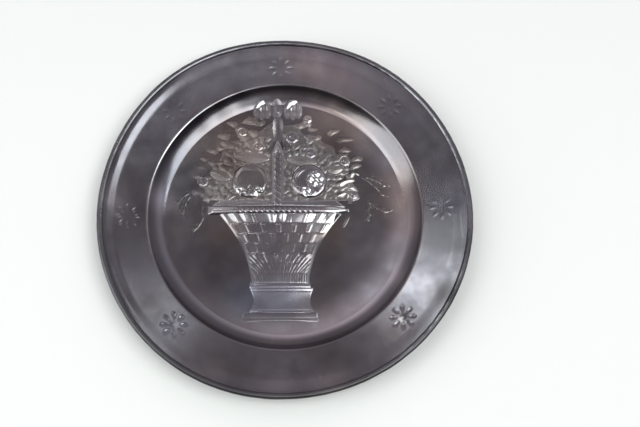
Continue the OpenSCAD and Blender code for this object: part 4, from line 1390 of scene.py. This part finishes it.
# The plate lies on a plain pale table top, a wide sheet of smooth board with a soft matt finish. It is part
# of the stage, not of the plate.
table_half = 9.0
table_corners = [(-1, -1), (1, -1), (1, 1), (-1, 1)]
table_mesh = bpy.data.meshes.new("table_top")
table_mesh.from_pydata([(table_half * a, table_half * b, 0) for a, b in table_corners], [], [(0, 1, 2, 3)])
table = bpy.data.objects.new("table_top", table_mesh)
bpy.context.scene.collection.objects.link(table)
board = bpy.data.materials.new("pale_board")
board.use_nodes = True
board_shader = board.node_tree.nodes["Principled BSDF"]
board_noise = board.node_tree.nodes.new("ShaderNodeTexNoise")
board_noise.inputs["Scale"].default_value = 6
board_tone = board.node_tree.nodes.new("ShaderNodeValToRGB")
board_tone.color_ramp.elements[0].color = (0.86, 0.845, 0.84, 1)
board_tone.color_ramp.elements[1].color = (0.89, 0.875, 0.87, 1)
board.node_tree.links.new(board_noise.outputs["Fac"], board_tone.inputs["Fac"])
board.node_tree.links.new(board_tone.outputs["Color"], board_shader.inputs["Base Color"])
board_shader.inputs["Roughness"].default_value = 0.8
table_mesh.materials.append(board)

# Soft studio light: a wide lamp on the right, a tall one on the left and two narrow ones at the far side,
# and a pale surround that is dim overhead and dark behind the camera. Each lamp has its azimuth, elevation
# and roll in degrees, its distance, width and height in metres, and its level.
lamps = [
    ("right_lamp", -19.3, 64.6, -26.5, 1.3, 0.8, 0.68, 5.0), ("left_lamp", 194, 40, 0, 1.3, 0.7, 1.6, 2.85),
    ("far_left_lamp", 119, 62, 0, 2.5, 0.36, 0.24, 6.6), ("far_right_lamp", 67, 60, 0, 2.5, 0.3, 0.22, 2.5)]
lamp_colour = (0.91, 1.0, 0.96)
surround_colour = (0.78, 0.741, 0.78)
far_tones = [
    (0.0, 0.42), (0.2, 0.5), (0.4, 0.6), (0.6, 1.0), (0.72, 1.0), (0.81, 0.42), (0.96, 0.42), (0.99, 0.6)]
near_tones = [
    (0.0, 0.1), (0.5, 0.1), (0.7, 0.2), (0.83, 0.3), (0.93, 0.8), (0.955, 1.8), (0.975, 1.8), (1.0, 0.6)]
near_to = -0.3
far_from = 0.15


def direction(azimuth, elevation):
    """Unit step from the plate towards a place in the room"""
    a, e = math.radians(azimuth), math.radians(elevation)
    return np.array([math.cos(a) * math.cos(e), math.sin(a) * math.cos(e), math.sin(e)])


for name, azimuth, elevation, lamp_roll, away, wide, high, level in lamps:
    light = bpy.data.lights.new(name, "AREA")
    light.shape = "RECTANGLE"
    light.size = wide
    light.size_y = high
    light.energy = level * math.pi * wide * high
    light.color = lamp_colour
    lamp = bpy.data.objects.new(name, light)
    lamp.location = direction(azimuth, elevation) * away
    aim = (-lamp.location).to_track_quat("-Z", "Y").to_matrix()
    lamp.rotation_euler = (aim @ Matrix.Rotation(math.radians(lamp_roll), 3, "Z")).to_euler()
    bpy.context.scene.collection.objects.link(lamp)

surround = bpy.data.worlds.new("surround")
surround.use_nodes = True
bpy.context.scene.world = surround
world_tree = surround.node_tree
world_place = world_tree.nodes.new("ShaderNodeTexCoord")
world_axes = world_tree.nodes.new("ShaderNodeSeparateXYZ")
world_tree.links.new(world_place.outputs["Generated"], world_axes.inputs["Vector"])


def tone_ramp(tones):
    """Tones of the surround from the ground up to overhead"""
    ramp = world_tree.nodes.new("ShaderNodeValToRGB")
    while len(ramp.color_ramp.elements) < len(tones):
        ramp.color_ramp.elements.new(0.5)
    for element, (position, tone) in zip(ramp.color_ramp.elements, tones):
        element.position = position
        element.color = (*(tone * channel for channel in surround_colour), 1)
    world_tree.links.new(world_axes.outputs["Z"], ramp.inputs["Fac"])
    return ramp.outputs["Color"]


far_share = world_tree.nodes.new("ShaderNodeMapRange")
far_share.inputs["From Min"].default_value = near_to
far_share.inputs["From Max"].default_value = far_from
world_tree.links.new(world_axes.outputs["Y"], far_share.inputs["Value"])
both_sides = world_tree.nodes.new("ShaderNodeMix")
both_sides.data_type = "RGBA"
world_tree.links.new(far_share.outputs["Result"], both_sides.inputs["Factor"])
world_tree.links.new(tone_ramp(near_tones), both_sides.inputs[6])
world_tree.links.new(tone_ramp(far_tones), both_sides.inputs[7])
world_tree.links.new(both_sides.outputs[2], world_tree.nodes["Background"].inputs["Color"])

# The camera stands at the near side and looks steeply down. The plate's middle lies a little left of the
# picture's middle.
camera_elevation = 72.9
camera_away = 0.582
focal_px = 935
image_w = 640
image_h = 427
plate_px = (285.7, 216.5)
sensor_w = 36
lens = bpy.data.cameras.new("camera")
lens.sensor_width = sensor_w
lens.lens = focal_px / image_w * sensor_w
camera = bpy.data.objects.new("camera", lens)
toward = Vector(-direction(-90, camera_elevation))
pan = math.atan((image_w / 2 - plate_px[0]) / focal_px)
tilt = math.atan((plate_px[1] - image_h / 2) / focal_px)
facing = toward.to_track_quat("-Z", "Y").to_matrix()
facing = facing @ Matrix.Rotation(-pan, 3, "Y") @ Matrix.Rotation(tilt, 3, "X")
camera.matrix_world = Matrix.Translation(-toward * camera_away) @ facing.to_4x4()
bpy.context.scene.collection.objects.link(camera)
bpy.context.scene.camera = camera
bpy.context.scene.view_settings.view_transform = "Standard"
